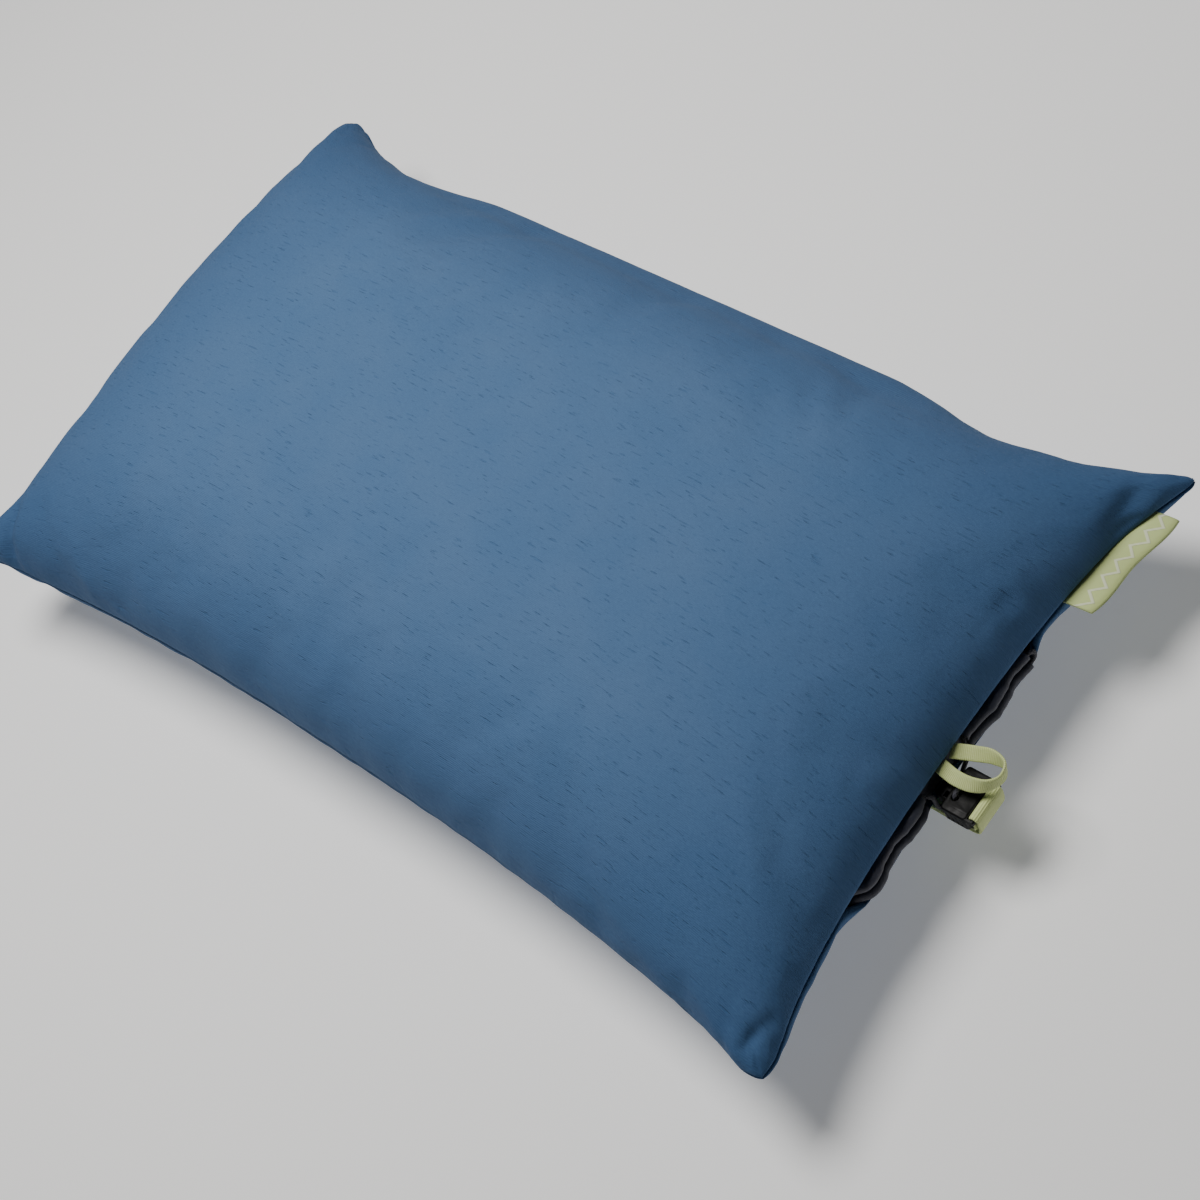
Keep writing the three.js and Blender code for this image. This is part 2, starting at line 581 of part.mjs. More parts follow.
// Flat webbing that follows a curve in an XZ plane, as wide as it is extruded along Y.
function webbing(points, thickness, width, centreY) {
  const curve = new THREE.SplineCurve(points.map(([x, z]) => new THREE.Vector2(x, z)));
  const sides = [1, -1].map((side) => Array.from({ length: STRAP_SAMPLES + 1 }, (_, i) => {
    const tangent = curve.getTangent(i / STRAP_SAMPLES);
    const normal = new THREE.Vector2(-tangent.y, tangent.x).multiplyScalar((side * thickness) / 2);
    return curve.getPoint(i / STRAP_SAMPLES).add(normal);
  }));
  const outline = new THREE.Shape([...sides[0], ...sides[1].reverse()]);
  const band = new THREE.ExtrudeGeometry(outline, { depth: width, bevelEnabled: false });
  return shaped(band, (p) => new THREE.Vector3(p.x, centreY + width / 2 - p.z, p.y));
}

function addLockStrap() {
  const route = STRAP_ROUTE.map(([x, depth]) => [x, LOCK_TOP - depth]);
  addMesh('lock_strap', webbing(route, STRAP_THICKNESS, STRAP_WIDTH, LOCK_Y), 'lime');
}

// Tape loop: it leaves the seam nearly flat and turns part of the way on edge at its bend.
function addPullLoop() {
  const places = LOOP_ROUTE.map(([x, y]) => new THREE.Vector3(x, y, SEAM_Z + CLEARANCE));
  const route = new THREE.CatmullRomCurve3(places, false, 'centripetal');
  const ribbon = new THREE.BoxGeometry(LOOP_THICKNESS, LOOP_WIDTH, 1, 1, 1, LOOP_STEPS);
  const up = new THREE.Vector3(0, 0, 1);
  const geometry = shaped(ribbon, (p) => {
    const t = p.z + 0.5;
    const behind = route.getPoint(Math.max(0, t - LOOP_TANGENT_STEP));
    const tangent = route.getPoint(Math.min(1, t + LOOP_TANGENT_STEP)).sub(behind).normalize();
    const outward = new THREE.Vector3().crossVectors(up, tangent).normalize();
    const lean = LOOP_FLAT_LEAN + (LOOP_BEND_LEAN - LOOP_FLAT_LEAN) * Math.sin(Math.PI * t) ** 2;
    const side = t < 0.5 ? -1 : 1;
    const hold = THREE.MathUtils.smoothstep(Math.abs(t - 0.5), 0, 0.25) * side;
    const tilt = (Math.PI / 2 - lean) * hold;
    const widthways = up.clone().applyAxisAngle(tangent, tilt);
    const thickways = outward.clone().applyAxisAngle(tangent, tilt);
    return route.getPoint(t).addScaledVector(thickways, p.x).addScaledVector(widthways, p.y);
  });
  addMesh('pull_loop', geometry, 'lime');
}

function addSideLabel() {
  const [low, high] = LABEL_Y;
  const tab = new THREE.BoxGeometry(2, 2, LABEL_THICKNESS, ...LABEL_STEPS, 1);
  const geometry = shaped(tab, (p) => {
    const y = (low + high + (high - low) * p.y) / 2;
    const reach = LABEL_REACH * (1 - LABEL_TAPER * p.y ** LABEL_TAPER_POWER);
    return new THREE.Vector3(seamX(y) + LABEL_START + (reach * (p.x + 1)) / 2, y, SEAM_Z + p.z);
  });
  addMesh('side_label', geometry, 'lime');
}

// The zip runs along X in the rear seam's plane, with its face out along +Y.
function addZip() {
  const half = ZIP_LENGTH / 2;
  const tapeStart = COIL_SPLIT / 2 + COIL_WIDTH + CLEARANCE;
  ['upper', 'lower'].forEach((name, i) => {
    const way = i === 0 ? 1 : -1;
    const span = (a, b) => [SEAM_Z + way * a, SEAM_Z + way * b].sort((p, q) => p - q);
    const tapeZ = span(tapeStart, tapeStart + TAPE_WIDTH);
    const coilZ = span(COIL_SPLIT / 2, COIL_SPLIT / 2 + COIL_WIDTH);
    addMesh(`zip_tape_${name}`, boxBetween(
      [-half - TAPE_RUN_ON, ZIP_Y - TAPE_THICKNESS / 2, tapeZ[0]],
      [half + TAPE_RUN_ON, ZIP_Y + TAPE_THICKNESS / 2, tapeZ[1]],
    ), 'zipTape');
    addMesh(`zip_coil_${name}`, boxBetween(
      [-half, ZIP_Y - COIL_DEPTH / 2, coilZ[0]], [half, ZIP_Y + COIL_DEPTH / 2, coilZ[1]],
    ), 'zipTape');
  });
  const stopReach = tapeStart - CLEARANCE;
  ['closed', 'open'].forEach((name, i) => {
    const start = i === 0 ? -half - CLOSED_STOP_START : half + CLEARANCE;
    addMesh(`zip_stop_${name}_end`, boxBetween(
      [start, ZIP_Y - STOP_HALF_DEPTH, SEAM_Z - stopReach],
      [start + STOP_LENGTH, ZIP_Y + STOP_HALF_DEPTH, SEAM_Z + stopReach],
    ), 'steel');
  });
}

function addZipSlider() {
  const low = SLIDER_X - SLIDER_LENGTH / 2;
  const high = SLIDER_X + SLIDER_LENGTH / 2;
  const halfDepth = COIL_DEPTH / 2 + CLEARANCE + SLIDER_PLATE;
  const halfWide = SLIDER_WIDTH / 2;
  const shell = boxBetween(
    [low, ZIP_Y - halfDepth, SEAM_Z - halfWide], [high, ZIP_Y + halfDepth, SEAM_Z + halfWide],
  );
  const coilRoom = COIL_SPLIT / 2 + COIL_WIDTH + CLEARANCE;
  const tunnel = boxBetween(
    [low - 1, ZIP_Y - halfDepth + SLIDER_PLATE, SEAM_Z - coilRoom],
    [high + 1, ZIP_Y + halfDepth - SLIDER_PLATE, SEAM_Z + coilRoom],
  );
  const tapeRoom = TAPE_THICKNESS / 2 + CLEARANCE;
  const slit = boxBetween(
    [low - 1, ZIP_Y - tapeRoom, SEAM_Z - halfWide - 1], [high + 1, ZIP_Y + tapeRoom, SEAM_Z + halfWide + 1],
  );
  const webReach = halfDepth - SLIDER_WEB_INSET;
  const web = boxBetween(
    [low, ZIP_Y - webReach, SEAM_Z - SLIDER_WEB / 2],
    [low + SLIDER_WEB_LENGTH, ZIP_Y + webReach, SEAM_Z + SLIDER_WEB / 2],
  );
  const face = ZIP_Y + halfDepth;
  const eyeTop = face + 2 * PULL_LIFT;
  const bail = boxBetween(
    [SLIDER_X - BAIL_HALF_LENGTH, face - BAIL_ROOT, SEAM_Z - BAIL_HALF_WIDTH],
    [SLIDER_X + BAIL_HALF_LENGTH, eyeTop + BAIL_WALL, SEAM_Z + BAIL_HALF_WIDTH],
  );
  const eye = boxBetween(
    [SLIDER_X - EYE_HALF_LENGTH, face, SEAM_Z - EYE_HALF_WIDTH],
    [SLIDER_X + EYE_HALF_LENGTH, eyeTop, SEAM_Z + EYE_HALF_WIDTH],
  );
  addMesh('zip_slider', join(cut(shell, tunnel, slit), web, cut(bail, eye)), 'steel');
}

function addZipPull() {
  const pinY = ZIP_Y + COIL_DEPTH / 2 + CLEARANCE + SLIDER_PLATE + PULL_LIFT;
  const halfPull = PULL_WIDTH / 2;
  const plate = boxBetween(
    [SLIDER_X, pinY - PULL_THICKNESS / 2, SEAM_Z - halfPull],
    [SLIDER_X + PULL_LENGTH, pinY + PULL_THICKNESS / 2, SEAM_Z + halfPull],
  );
  const crossBar = new THREE.CylinderGeometry(
    PULL_THICKNESS / 2, PULL_THICKNESS / 2, PULL_WIDTH, HOLE_SIDES,
  );
  crossBar.rotateX(Math.PI / 2).translate(SLIDER_X, pinY, SEAM_Z);
  const window = boxBetween(
    [SLIDER_X + PULL_THICKNESS / 2, pinY - PULL_THICKNESS, SEAM_Z - PULL_WINDOW_HALF],
    [SLIDER_X + PULL_WINDOW_END, pinY + PULL_THICKNESS, SEAM_Z + PULL_WINDOW_HALF],
  );
  addMesh('zip_pull', cut(join(plate, crossBar), window), 'steel');
}

// Closed ring or disc from its outline in radius and height, about the valve's axis.
function turned(outline) {
  const points = outline.map(([radius, height]) => new THREE.Vector2(radius, height));
  const body = new THREE.LatheGeometry(points, ROUND_STEPS);
  body.rotateX(Math.PI / 2);
  return welded(body);
}

function addValve() {
  const valve = new THREE.Group();
  valve.matrixAutoUpdate = false;
  valve.matrix.copy(valveMatrix);
  pillow.add(valve);
  addMesh('valve_flange', turned(FLANGE_OUTLINE), 'valvePlastic', valve);
  addMesh('valve_plug', turned(PLUG_OUTLINE), 'valvePlastic', valve);
  addMesh('valve_diaphragm', turned(DIAPHRAGM_OUTLINE), 'silicone', valve);
  addMesh('valve_cap', turned(CAP_OUTLINE), 'valvePlastic', valve);
}

addCover();
addFoam();
addAirCell();
addBaffles();
addStuffSack();
addMouth();
addDrawcord();
addCordLock();
addLockButton();
addLockSpring();
addLockStrap();
addPullLoop();
addSideLabel();
addZip();
addZipSlider();
addZipPull();
addValve();

export default pillow;
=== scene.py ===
# Camp pillow: the looks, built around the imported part.
# Sizes and places are in millimetres in the part's frame, and MM turns them into Blender's metres.
import math
import bpy
import numpy as np
from mathutils import Matrix, Vector


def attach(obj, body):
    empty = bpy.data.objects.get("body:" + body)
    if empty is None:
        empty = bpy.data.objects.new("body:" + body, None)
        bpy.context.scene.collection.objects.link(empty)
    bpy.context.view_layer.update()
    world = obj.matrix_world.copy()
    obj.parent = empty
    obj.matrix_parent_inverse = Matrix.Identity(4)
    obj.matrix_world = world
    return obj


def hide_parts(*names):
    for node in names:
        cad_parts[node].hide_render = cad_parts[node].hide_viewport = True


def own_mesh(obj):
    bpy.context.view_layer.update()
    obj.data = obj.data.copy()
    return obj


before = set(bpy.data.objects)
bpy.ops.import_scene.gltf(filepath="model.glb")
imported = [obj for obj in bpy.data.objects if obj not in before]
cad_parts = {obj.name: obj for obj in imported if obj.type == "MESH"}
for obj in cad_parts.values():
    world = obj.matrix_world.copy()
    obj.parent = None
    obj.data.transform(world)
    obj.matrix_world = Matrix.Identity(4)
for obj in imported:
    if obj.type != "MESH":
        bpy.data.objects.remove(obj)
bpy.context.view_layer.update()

MM = 0.001

# ---- the pillow's outline and layers, as the part has them ----
LENGTH = 432
WIDTH = 254
SEAM_Z = 42
TOP_CROWN = 57
BELLY_DEPTH = 50
FULLNESS = 0.38
BOW_POWER = 2.6
PULL_LABEL_END = 13
PULL_PLAIN_END = 6
PULL_FRONT_SIDE = 14
PULL_ZIP_SIDE = 17
ZIP_STRAIGHT = 0.54
PLAIN_END_POWER = 5.0
# Each corner by its side in x and y, with the radius it is rounded by.
CORNER_RADII = ((1, -1, 13), (1, 1, 4), (-1, 1, 9), (-1, -1, 5))
# How far each corner's ear is drawn out, in x, y and z, and over what distance.
CORNER_EARS = (
    (1, -1, (3, -3, 0), 20),
    (1, 1, (5, 3, 1), 22),
    (-1, 1, (1, 2.5, 2), 18),
    (-1, -1, (-1.5, -1, 7), 26),
)


def bow(t):
    return 1 - np.abs(t) ** BOW_POWER


def zip_bow(t):
    return 1 - np.maximum(0, (np.abs(t) - ZIP_STRAIGHT) / (1 - ZIP_STRAIGHT)) ** BOW_POWER


def plan_place(u, v, inset=0.0):
    """Plan position of a layer that lies inset from the cover; u and v run from -1 to 1."""
    end = np.where(u > 0, PULL_LABEL_END, PULL_PLAIN_END) * bow(v)
    side = np.where(v > 0, PULL_ZIP_SIDE * zip_bow(u), PULL_FRONT_SIDE * bow(u))
    return u * (LENGTH / 2 - inset - end), v * (WIDTH / 2 - inset - side)


def swell(u, v):
    return np.maximum(0, (1 - u * u) * (1 - v * v)) ** FULLNESS


def cover_swell(u, v):
    """The cover's own fullness: the plain end is packed fuller than the labelled one."""
    end = 1 - np.abs(u) ** np.where(u < 0, PLAIN_END_POWER, 2.0)
    return np.maximum(0, end * (1 - v * v)) ** FULLNESS


def round_corners(x, y):
    """Rounds the four corners of the cover's plan, each by its own radius."""
    end, side = LENGTH / 2, WIDTH / 2
    for way_x, way_y, radius in CORNER_RADII:
        dx, dy = x * way_x - (end - radius), y * way_y - (side - radius)
        inside = (dx > 0) & (dy > 0)
        scale = np.where(inside, np.maximum(dx, dy) / np.maximum(np.hypot(dx, dy), 1e-9), 1)
        x = np.where(inside, way_x * (end - radius + dx * scale), x)
        y = np.where(inside, way_y * (side - radius + dy * scale), y)
    return x, y


def smooth(t, low, high):
    t = np.clip((t - low) / (high - low), 0, 1)
    return t * t * (3 - 2 * t)


def new_mesh(name, points, faces):
    """A mesh object from points in millimetres."""
    mesh = bpy.data.meshes.new(name)
    mesh.from_pydata([tuple(p) for p in np.asarray(points, float) * MM], [], [tuple(f) for f in faces])
    mesh.update()
    piece = bpy.data.objects.new(name, mesh)
    bpy.context.scene.collection.objects.link(piece)
    return piece


def points_of(piece):
    co = np.empty(len(piece.data.vertices) * 3)
    piece.data.vertices.foreach_get("co", co)
    return co.reshape(-1, 3) / MM


def set_points(piece, points):
    piece.data.vertices.foreach_set("co", (points * MM).ravel())
    piece.data.update()


def only(piece):
    bpy.ops.object.select_all(action="DESELECT")
    piece.select_set(True)
    bpy.context.view_layer.objects.active = piece


def apply_modifiers(piece):
    only(piece)
    for modifier in list(piece.modifiers):
        bpy.ops.object.modifier_apply(modifier=modifier.name)


def shade_smooth(piece):
    piece.data.polygons.foreach_set("use_smooth", [True] * len(piece.data.polygons))


# ---- cover cloth ----
COLUMNS = 128
ROWS = 80
CLOTH_FRAMES = 22
CLOTH_SETTINGS = {
    "quality": 6, "mass": 0.15, "tension_stiffness": 15, "compression_stiffness": 15, "shear_stiffness": 5,
    "bending_stiffness": 0.05, "vertex_group_mass": "seam", "use_pressure": True,
    "uniform_pressure_force": 3.0, "shrink_min": -0.02,
}
# The bag starts this much flatter than the finished form, above and below, and fills out from there.
START_FLATTER = 3
MOVE_CAP = 14.0
WIDE_PASSES = 40
CREASE_SHARE = 0.45
SWELLING_SHARE = 0.12


def cover_plan():
    u = np.sin(np.linspace(-1, 1, COLUMNS + 1) * math.pi / 2)
    v = np.sin(np.linspace(-1, 1, ROWS + 1) * math.pi / 2)
    return np.meshgrid(u, v, indexing="ij")


def cover_start(u, v, way):
    """The cover before its cloth is let go: way is 1 for the crown and -1 for the belly."""
    x, y = round_corners(*plan_place(u, v))
    rise = (TOP_CROWN - START_FLATTER) if way > 0 else -(BELLY_DEPTH - START_FLATTER)
    return np.stack([x, y, SEAM_Z + rise * cover_swell(u, v)], axis=-1)


def grid_faces(numbers, flip=False):
    a, b = numbers[:-1, :-1], numbers[1:, :-1]
    c, d = numbers[1:, 1:], numbers[:-1, 1:]
    quads = np.stack([a, b, c, d] if not flip else [a, d, c, b], axis=-1)
    return quads.reshape(-1, 4)


def inflate(bag, seam_points):
    """Fills the bag out as cloth that is held at its seam. Gives its points."""
    bag.vertex_groups.new(name="seam").add(seam_points, 1.0, "REPLACE")
    cloth = bag.modifiers.new("Cloth", "CLOTH")
    for setting, value in CLOTH_SETTINGS.items():
        setattr(cloth.settings, setting, value)
    cloth.settings.effector_weights.gravity = 0
    cloth.collision_settings.use_collision = False
    cloth.point_cache.frame_start = 1
    cloth.point_cache.frame_end = CLOTH_FRAMES
    for step in range(1, CLOTH_FRAMES + 1):
        bpy.context.scene.frame_set(step)
    apply_modifiers(bag)
    bpy.context.scene.frame_set(1)
    return points_of(bag)


def blow_cover():
    """Lets the two panels fill out as cloth. Gives their grid, and how far each panel's points moved."""
    u, v = cover_plan()
    top, belly = cover_start(u, v, 1), cover_start(u, v, -1)
    count = u.size
    top_numbers = np.arange(count).reshape(u.shape)
    edge = np.zeros(u.shape, bool)
    edge[[0, -1], :] = True
    edge[:, [0, -1]] = True
    belly_numbers = top_numbers.copy()
    belly_numbers[~edge] = count + np.arange((~edge).sum())
    points = np.concatenate([top.reshape(-1, 3), belly[~edge]])
    faces = np.concatenate([grid_faces(top_numbers), grid_faces(belly_numbers, flip=True)])
    bag = new_mesh("cover_cloth", points, faces)
    move = np.zeros(points.shape)
    move = inflate(bag, [int(n) for n in top_numbers[edge]]) - points
    far = np.linalg.norm(move, axis=1, keepdims=True)
    move *= np.minimum(1, MOVE_CAP / np.maximum(far, 1e-9))
    bpy.data.objects.remove(bag)
    return u, v, move[top_numbers], move[belly_numbers]


def soften(field, passes):
    """A grid averaged with its neighbours, again and again."""
    for _ in range(passes):
        for axis in (0, 1):
            wide = np.pad(field, [(1, 1) if a == axis else (0, 0) for a in range(field.ndim)], mode="edge")
            before = wide.take(range(field.shape[axis]), axis)
            after = wide.take(range(2, field.shape[axis] + 2), axis)
            field = (before + 2 * field + after) / 4
    return field


def settle(u, v, move, way, crown):
    """The pillow's full form with the cloth's own creases on it, and a part of its wider swelling."""
    x, y = round_corners(*plan_place(u, v))
    form = np.stack([x, y, SEAM_Z + way * crown * cover_swell(u, v)], axis=-1)
    for way_x, way_y, draw, reach in CORNER_EARS:
        away = np.hypot(x - way_x * LENGTH / 2, y - way_y * WIDTH / 2)
        form += np.exp(-(away / reach) ** 2)[..., None] * np.array(draw)
    wide = soften(move, WIDE_PASSES)
    return form + (move - wide) * CREASE_SHARE + wide * SWELLING_SHARE


# ---- camera, floor and lights, in metres ----
FLOOR_SIZE = 12
FLOOR_GAP = 0.0004


def set_camera():
    camera = bpy.data.objects.new("camera", bpy.data.cameras.new("camera"))
    bpy.context.scene.collection.objects.link(camera)
    right = Vector((0.7262, 0.5903, -0.3523))
    up = Vector((-0.4016, 0.7803, 0.4794))
    back = Vector((0.5579, -0.2067, 0.8037))
    turn = Matrix((right, up, back)).transposed().to_4x4()
    camera.matrix_world = Matrix.Translation((0.5341, -0.1912, 0.7408)) @ turn
    camera.data.lens = 69.46
    camera.data.sensor_width = 36
    camera.data.clip_start = 0.02
    camera.data.clip_end = 30
    bpy.context.scene.camera = camera


def add_light(name, place, size, power, colour, target=(0, 0, 0.04)):
    lamp = bpy.data.lights.new(name, "AREA")
    lamp.shape = "DISK"
    lamp.size = size
    lamp.energy = power
    lamp.color = colour
    light = bpy.data.objects.new(name, lamp)
    bpy.context.scene.collection.objects.link(light)
    light.location = place
    light.rotation_mode = "QUATERNION"
    light.rotation_quaternion = (Vector(target) - Vector(place)).to_track_quat("-Z", "Y")


def set_studio():
    world = bpy.data.worlds.new("studio")
    bpy.context.scene.world = world
    world.use_nodes = True
    sky = world.node_tree.nodes["Background"]
    sky.inputs["Color"].default_value = (0.93, 0.96, 1, 1)
    sky.inputs["Strength"].default_value = 0.04
    add_light("key", (-0.2, 0.02, 1.0), 0.5, 10.8, (1, 0.985, 0.96))
    add_light("fill", (0.3, -1.6, 1.2), 1.4, 0.4, (0.95, 0.97, 1))
    bpy.ops.object.select_all(action="DESELECT")
    bpy.ops.mesh.primitive_plane_add(size=FLOOR_SIZE, location=(0, 0, -FLOOR_GAP))
    floor = bpy.context.object
    floor.name = "floor"
    paint = bpy.data.materials.new("floor_paint")
    paint.use_nodes = True
    shader = paint.node_tree.nodes["Principled BSDF"]
    shader.inputs["Base Color"].default_value = (0.92, 0.92, 0.92, 1)
    shader.inputs["Roughness"].default_value = 0.9
    shader.inputs["Emission Color"].default_value = (1, 1, 1, 1)
    shader.inputs["Emission Strength"].default_value = 0.2
    floor.data.materials.append(paint)


set_camera()
set_studio()


# ---- cover panels ----
# Folds in the crown: plan points, depth (negative for a ridge) and half width.
CROWN_FOLDS = (
    (((209, 111), (208.9, 96)), 2.4, 3.6),
    (((196, 52), (204, 49)), 1.8, 2.4),
    (((198, 62.5), (204.5, 62)), 1.3, 2.0),
    (((207, -122), (208.3, -116), (210, -110)), 1.8, 2.0),
    (((-180, -92), (-170, -102), (-160, -110)), -0.7, 2.2),
    (((-171, -90), (-160, -103), (-145, -115)), -0.8, 2.4),
    (((-199, -106), (-197, -116), (-195, -122)), 3.2, 2.4),
)


CROWN_SEED, BELLY_SEED = 5, 9
# The seam has no puckers this close to a corner.
PUCKER_FREE_END = 12
# Puckers fade out over this many rows of the grid beside the seam.
FADE_ROWS = 2


def surface_normals(grid):
    along = np.gradient(grid, axis=0)
    across = np.gradient(grid, axis=1)
    normal = np.cross(along, across)
    length = np.linalg.norm(normal, axis=-1, keepdims=True)
    return normal / np.maximum(length, 1e-9)


def distance_to_line(x, y, line):
    near = np.full(x.shape, 1e9)
    for (ax, ay), (bx, by) in zip(line[:-1], line[1:]):
        dx, dy = bx - ax, by - ay
        t = np.clip(((x - ax) * dx + (y - ay) * dy) / (dx * dx + dy * dy), 0, 1)
        near = np.minimum(near, np.hypot(x - ax - t * dx, y - ay - t * dy))
    return near


def seam_puckers(grid, seed):
    """Depth of the short valleys that run in from the seam, irregular in place, depth and length."""
    random = np.random.default_rng(seed)
    depth = np.zeros(grid.shape[:2])
    x, y = grid[..., 0], grid[..., 1]
    for side in ("front", "rear", "label", "plain"):
        long_side = side in ("front", "rear")
        reach = LENGTH / 2 if long_side else WIDTH / 2
        s = x if long_side else y
        inward = {"front": y[:, :1] * -1 + y, "rear": y[:, -1:] - y,
                  "label": x[-1:, :] - x, "plain": x - x[:1, :]}[side]
        up = np.abs(grid[..., 2] - SEAM_Z)
        away = np.hypot(inward, up)
        place = -reach + PUCKER_FREE_END
        while place < reach - PUCKER_FREE_END:
            deep = random.uniform(0.25, 1.05) * (1.25 if side == "label" else 0.8)
            half = random.uniform(1.6, 3.6)
            length = random.uniform(9, 26)
            slant = random.uniform(-0.35, 0.35)
            shift = s - place - slant * away
            depth += deep * np.exp(-(shift / half) ** 2) * np.exp(-(away / length) ** 2)
            place += random.uniform(9, 26)
    return depth


def rest_on_floor(z, soft=2.2):
    """Heights that meet the floor on a soft curve and never pass it."""
    return np.where(z > soft, z, np.where(z < -soft, 0.0, (z + soft) ** 2 / (4 * soft)))


# Half the length along which the zip parts the seam, and how far back the panels fold there.
ZIP_ZONE = 104
ZIP_WELT_Y = 114.5
# From where to where the mouth of the stuff sack parts the seam.
MOUTH_ZONE = (-58, 46)
# The valve's own axes and its place on the belly.
VALVE_RIGHT = np.array([-0.979362, 0, 0.202114])
VALVE_REACH = np.array([0.030905, 0.988241, 0.149751])
VALVE_OUT = np.array([-0.199737, 0.152907, -0.967845])
VALVE_PLACE = np.array([-166, 64, 11.8409])
VALVE_FLAT = 19


def flat_round_valve(grid):
    """The belly lies flat for a little way round the valve."""
    off = grid - VALVE_PLACE
    height = off @ VALVE_OUT
    out = np.linalg.norm(off - height[..., None] * VALVE_OUT, axis=-1)
    near = (1 - smooth(out, VALVE_FLAT, VALVE_FLAT + 15)) * (np.abs(height) < 20)
    return grid - (near * (height + 0.15))[..., None] * VALVE_OUT


def open_seam(u, v, grid, way):
    """Folds the panel back beside the zip, and drops the belly panel's edge under the mouth."""
    grid = grid.copy()
    x, y = grid[..., 0], grid[..., 1]
    height = way * (grid[..., 2] - SEAM_Z)
    by_zip = (1 - smooth(np.abs(x), ZIP_ZONE, ZIP_ZONE + 9)) * (v > 0.5)
    along = (1 - smooth(np.abs(x), ZIP_ZONE, ZIP_ZONE + 48)) * (v > 0.5)
    near = 1 - smooth(height, 8, 24)
    grid[..., 1] = y + along * near * np.maximum(0, ZIP_WELT_Y - y)
    height = height + by_zip * 4.3 * np.exp(-height / 6)
    if way < 0:
        low, high = MOUTH_ZONE
        by_mouth = smooth(y, low - 8, low) * (1 - smooth(y, high, high + 8)) * (u > 0.5)
        height = height + by_mouth * 11.2 * np.exp(-height / 12)
    grid[..., 2] = SEAM_Z + way * height
    return grid, by_zip


def fade_at_seam():
    """0 on the seam, rising to 1 a few rows of the grid inwards."""
    columns = COLUMNS / 2 * (1 - np.abs(np.linspace(-1, 1, COLUMNS + 1)))
    rows = ROWS / 2 * (1 - np.abs(np.linspace(-1, 1, ROWS + 1)))
    return np.minimum(1, np.minimum(columns[:, None], rows[None, :]) / FADE_ROWS)


def draw_in(points, zipped, shift, lift):
    """Draws seam points towards the pillow's middle and lifts them, but hardly where the zip holds them."""
    size = np.maximum(np.hypot(points[:, 0], points[:, 1]), 1e-9)
    shift = shift * (1 - zipped) + 0.12 * shift * zipped
    moved = points - points * (shift / size)[:, None] * np.array([1, 1, 0])
    moved[:, 2] = points[:, 2] + lift * (1 - zipped)
    return moved


def turn_in_hem(grid, by_zip, way):
    """Adds the seam allowance: the panel's edge sinks in a little, and a turned-in ring follows it."""
    full = np.pad(grid, ((1, 1), (1, 1), (0, 0)), mode="edge")
    zipped = np.pad(by_zip, 1, mode="edge")
    hem = np.ones(zipped.shape, bool)
    hem[1:-1, 1:-1] = False
    edge = ~hem
    edge[2:-2, 2:-2] = False
    full[hem] = draw_in(full[hem], zipped[hem], 3.6, way * 0.45)
    full[edge] = draw_in(full[edge], zipped[edge], 0.9, way * 0.25)
    return full


def panel(name, u, v, grid, way):
    """One cover panel: its cloth face, a seam allowance turned in, and the cloth's thickness."""
    normal = surface_normals(grid) * way
    depth = seam_puckers(grid, CROWN_SEED if way > 0 else BELLY_SEED)
    if way > 0:
        for line, deep, half in CROWN_FOLDS:
            depth += deep * np.exp(-(distance_to_line(grid[..., 0], grid[..., 1], line) / half) ** 2)
    grid = grid - normal * (depth * fade_at_seam())[..., None]
    grid, by_zip = open_seam(u, v, grid, way)
    if way < 0:
        grid[..., 2] = rest_on_floor(grid[..., 2])
        grid = flat_round_valve(grid)
    full = turn_in_hem(grid, by_zip, way)
    numbers = np.arange(full[..., 0].size).reshape(full.shape[:2])
    piece = new_mesh(name, full.reshape(-1, 3), grid_faces(numbers, flip=way < 0))
    flat = np.stack([(u + 1) / 2, (v + 1) / 2 * WIDTH / LENGTH], axis=-1)
    flat = np.pad(flat, ((1, 1), (1, 1), (0, 0)), mode="edge")
    loops = np.empty(len(piece.data.loops), int)
    piece.data.loops.foreach_get("vertex_index", loops)
    cloth_map = piece.data.uv_layers.new(name="cloth")
    cloth_map.data.foreach_set("uv", flat.reshape(-1, 2)[loops].ravel())
    round_out = piece.modifiers.new("round", "SUBSURF")
    round_out.levels = round_out.render_levels = 1
    wall = piece.modifiers.new("cloth", "SOLIDIFY")
    wall.thickness = 1.0 * MM
    wall.offset = -1
    apply_modifiers(piece)
    shade_smooth(piece)
    return piece


# ---- finishes ----
def linear(red, green, blue):
    """A colour read off a swatch, 0 to 255, as the shader's linear values."""
    def one(c):
        c /= 255
        return c / 12.92 if c <= 0.04045 else ((c + 0.055) / 1.055) ** 2.4
    return (one(red), one(green), one(blue), 1)


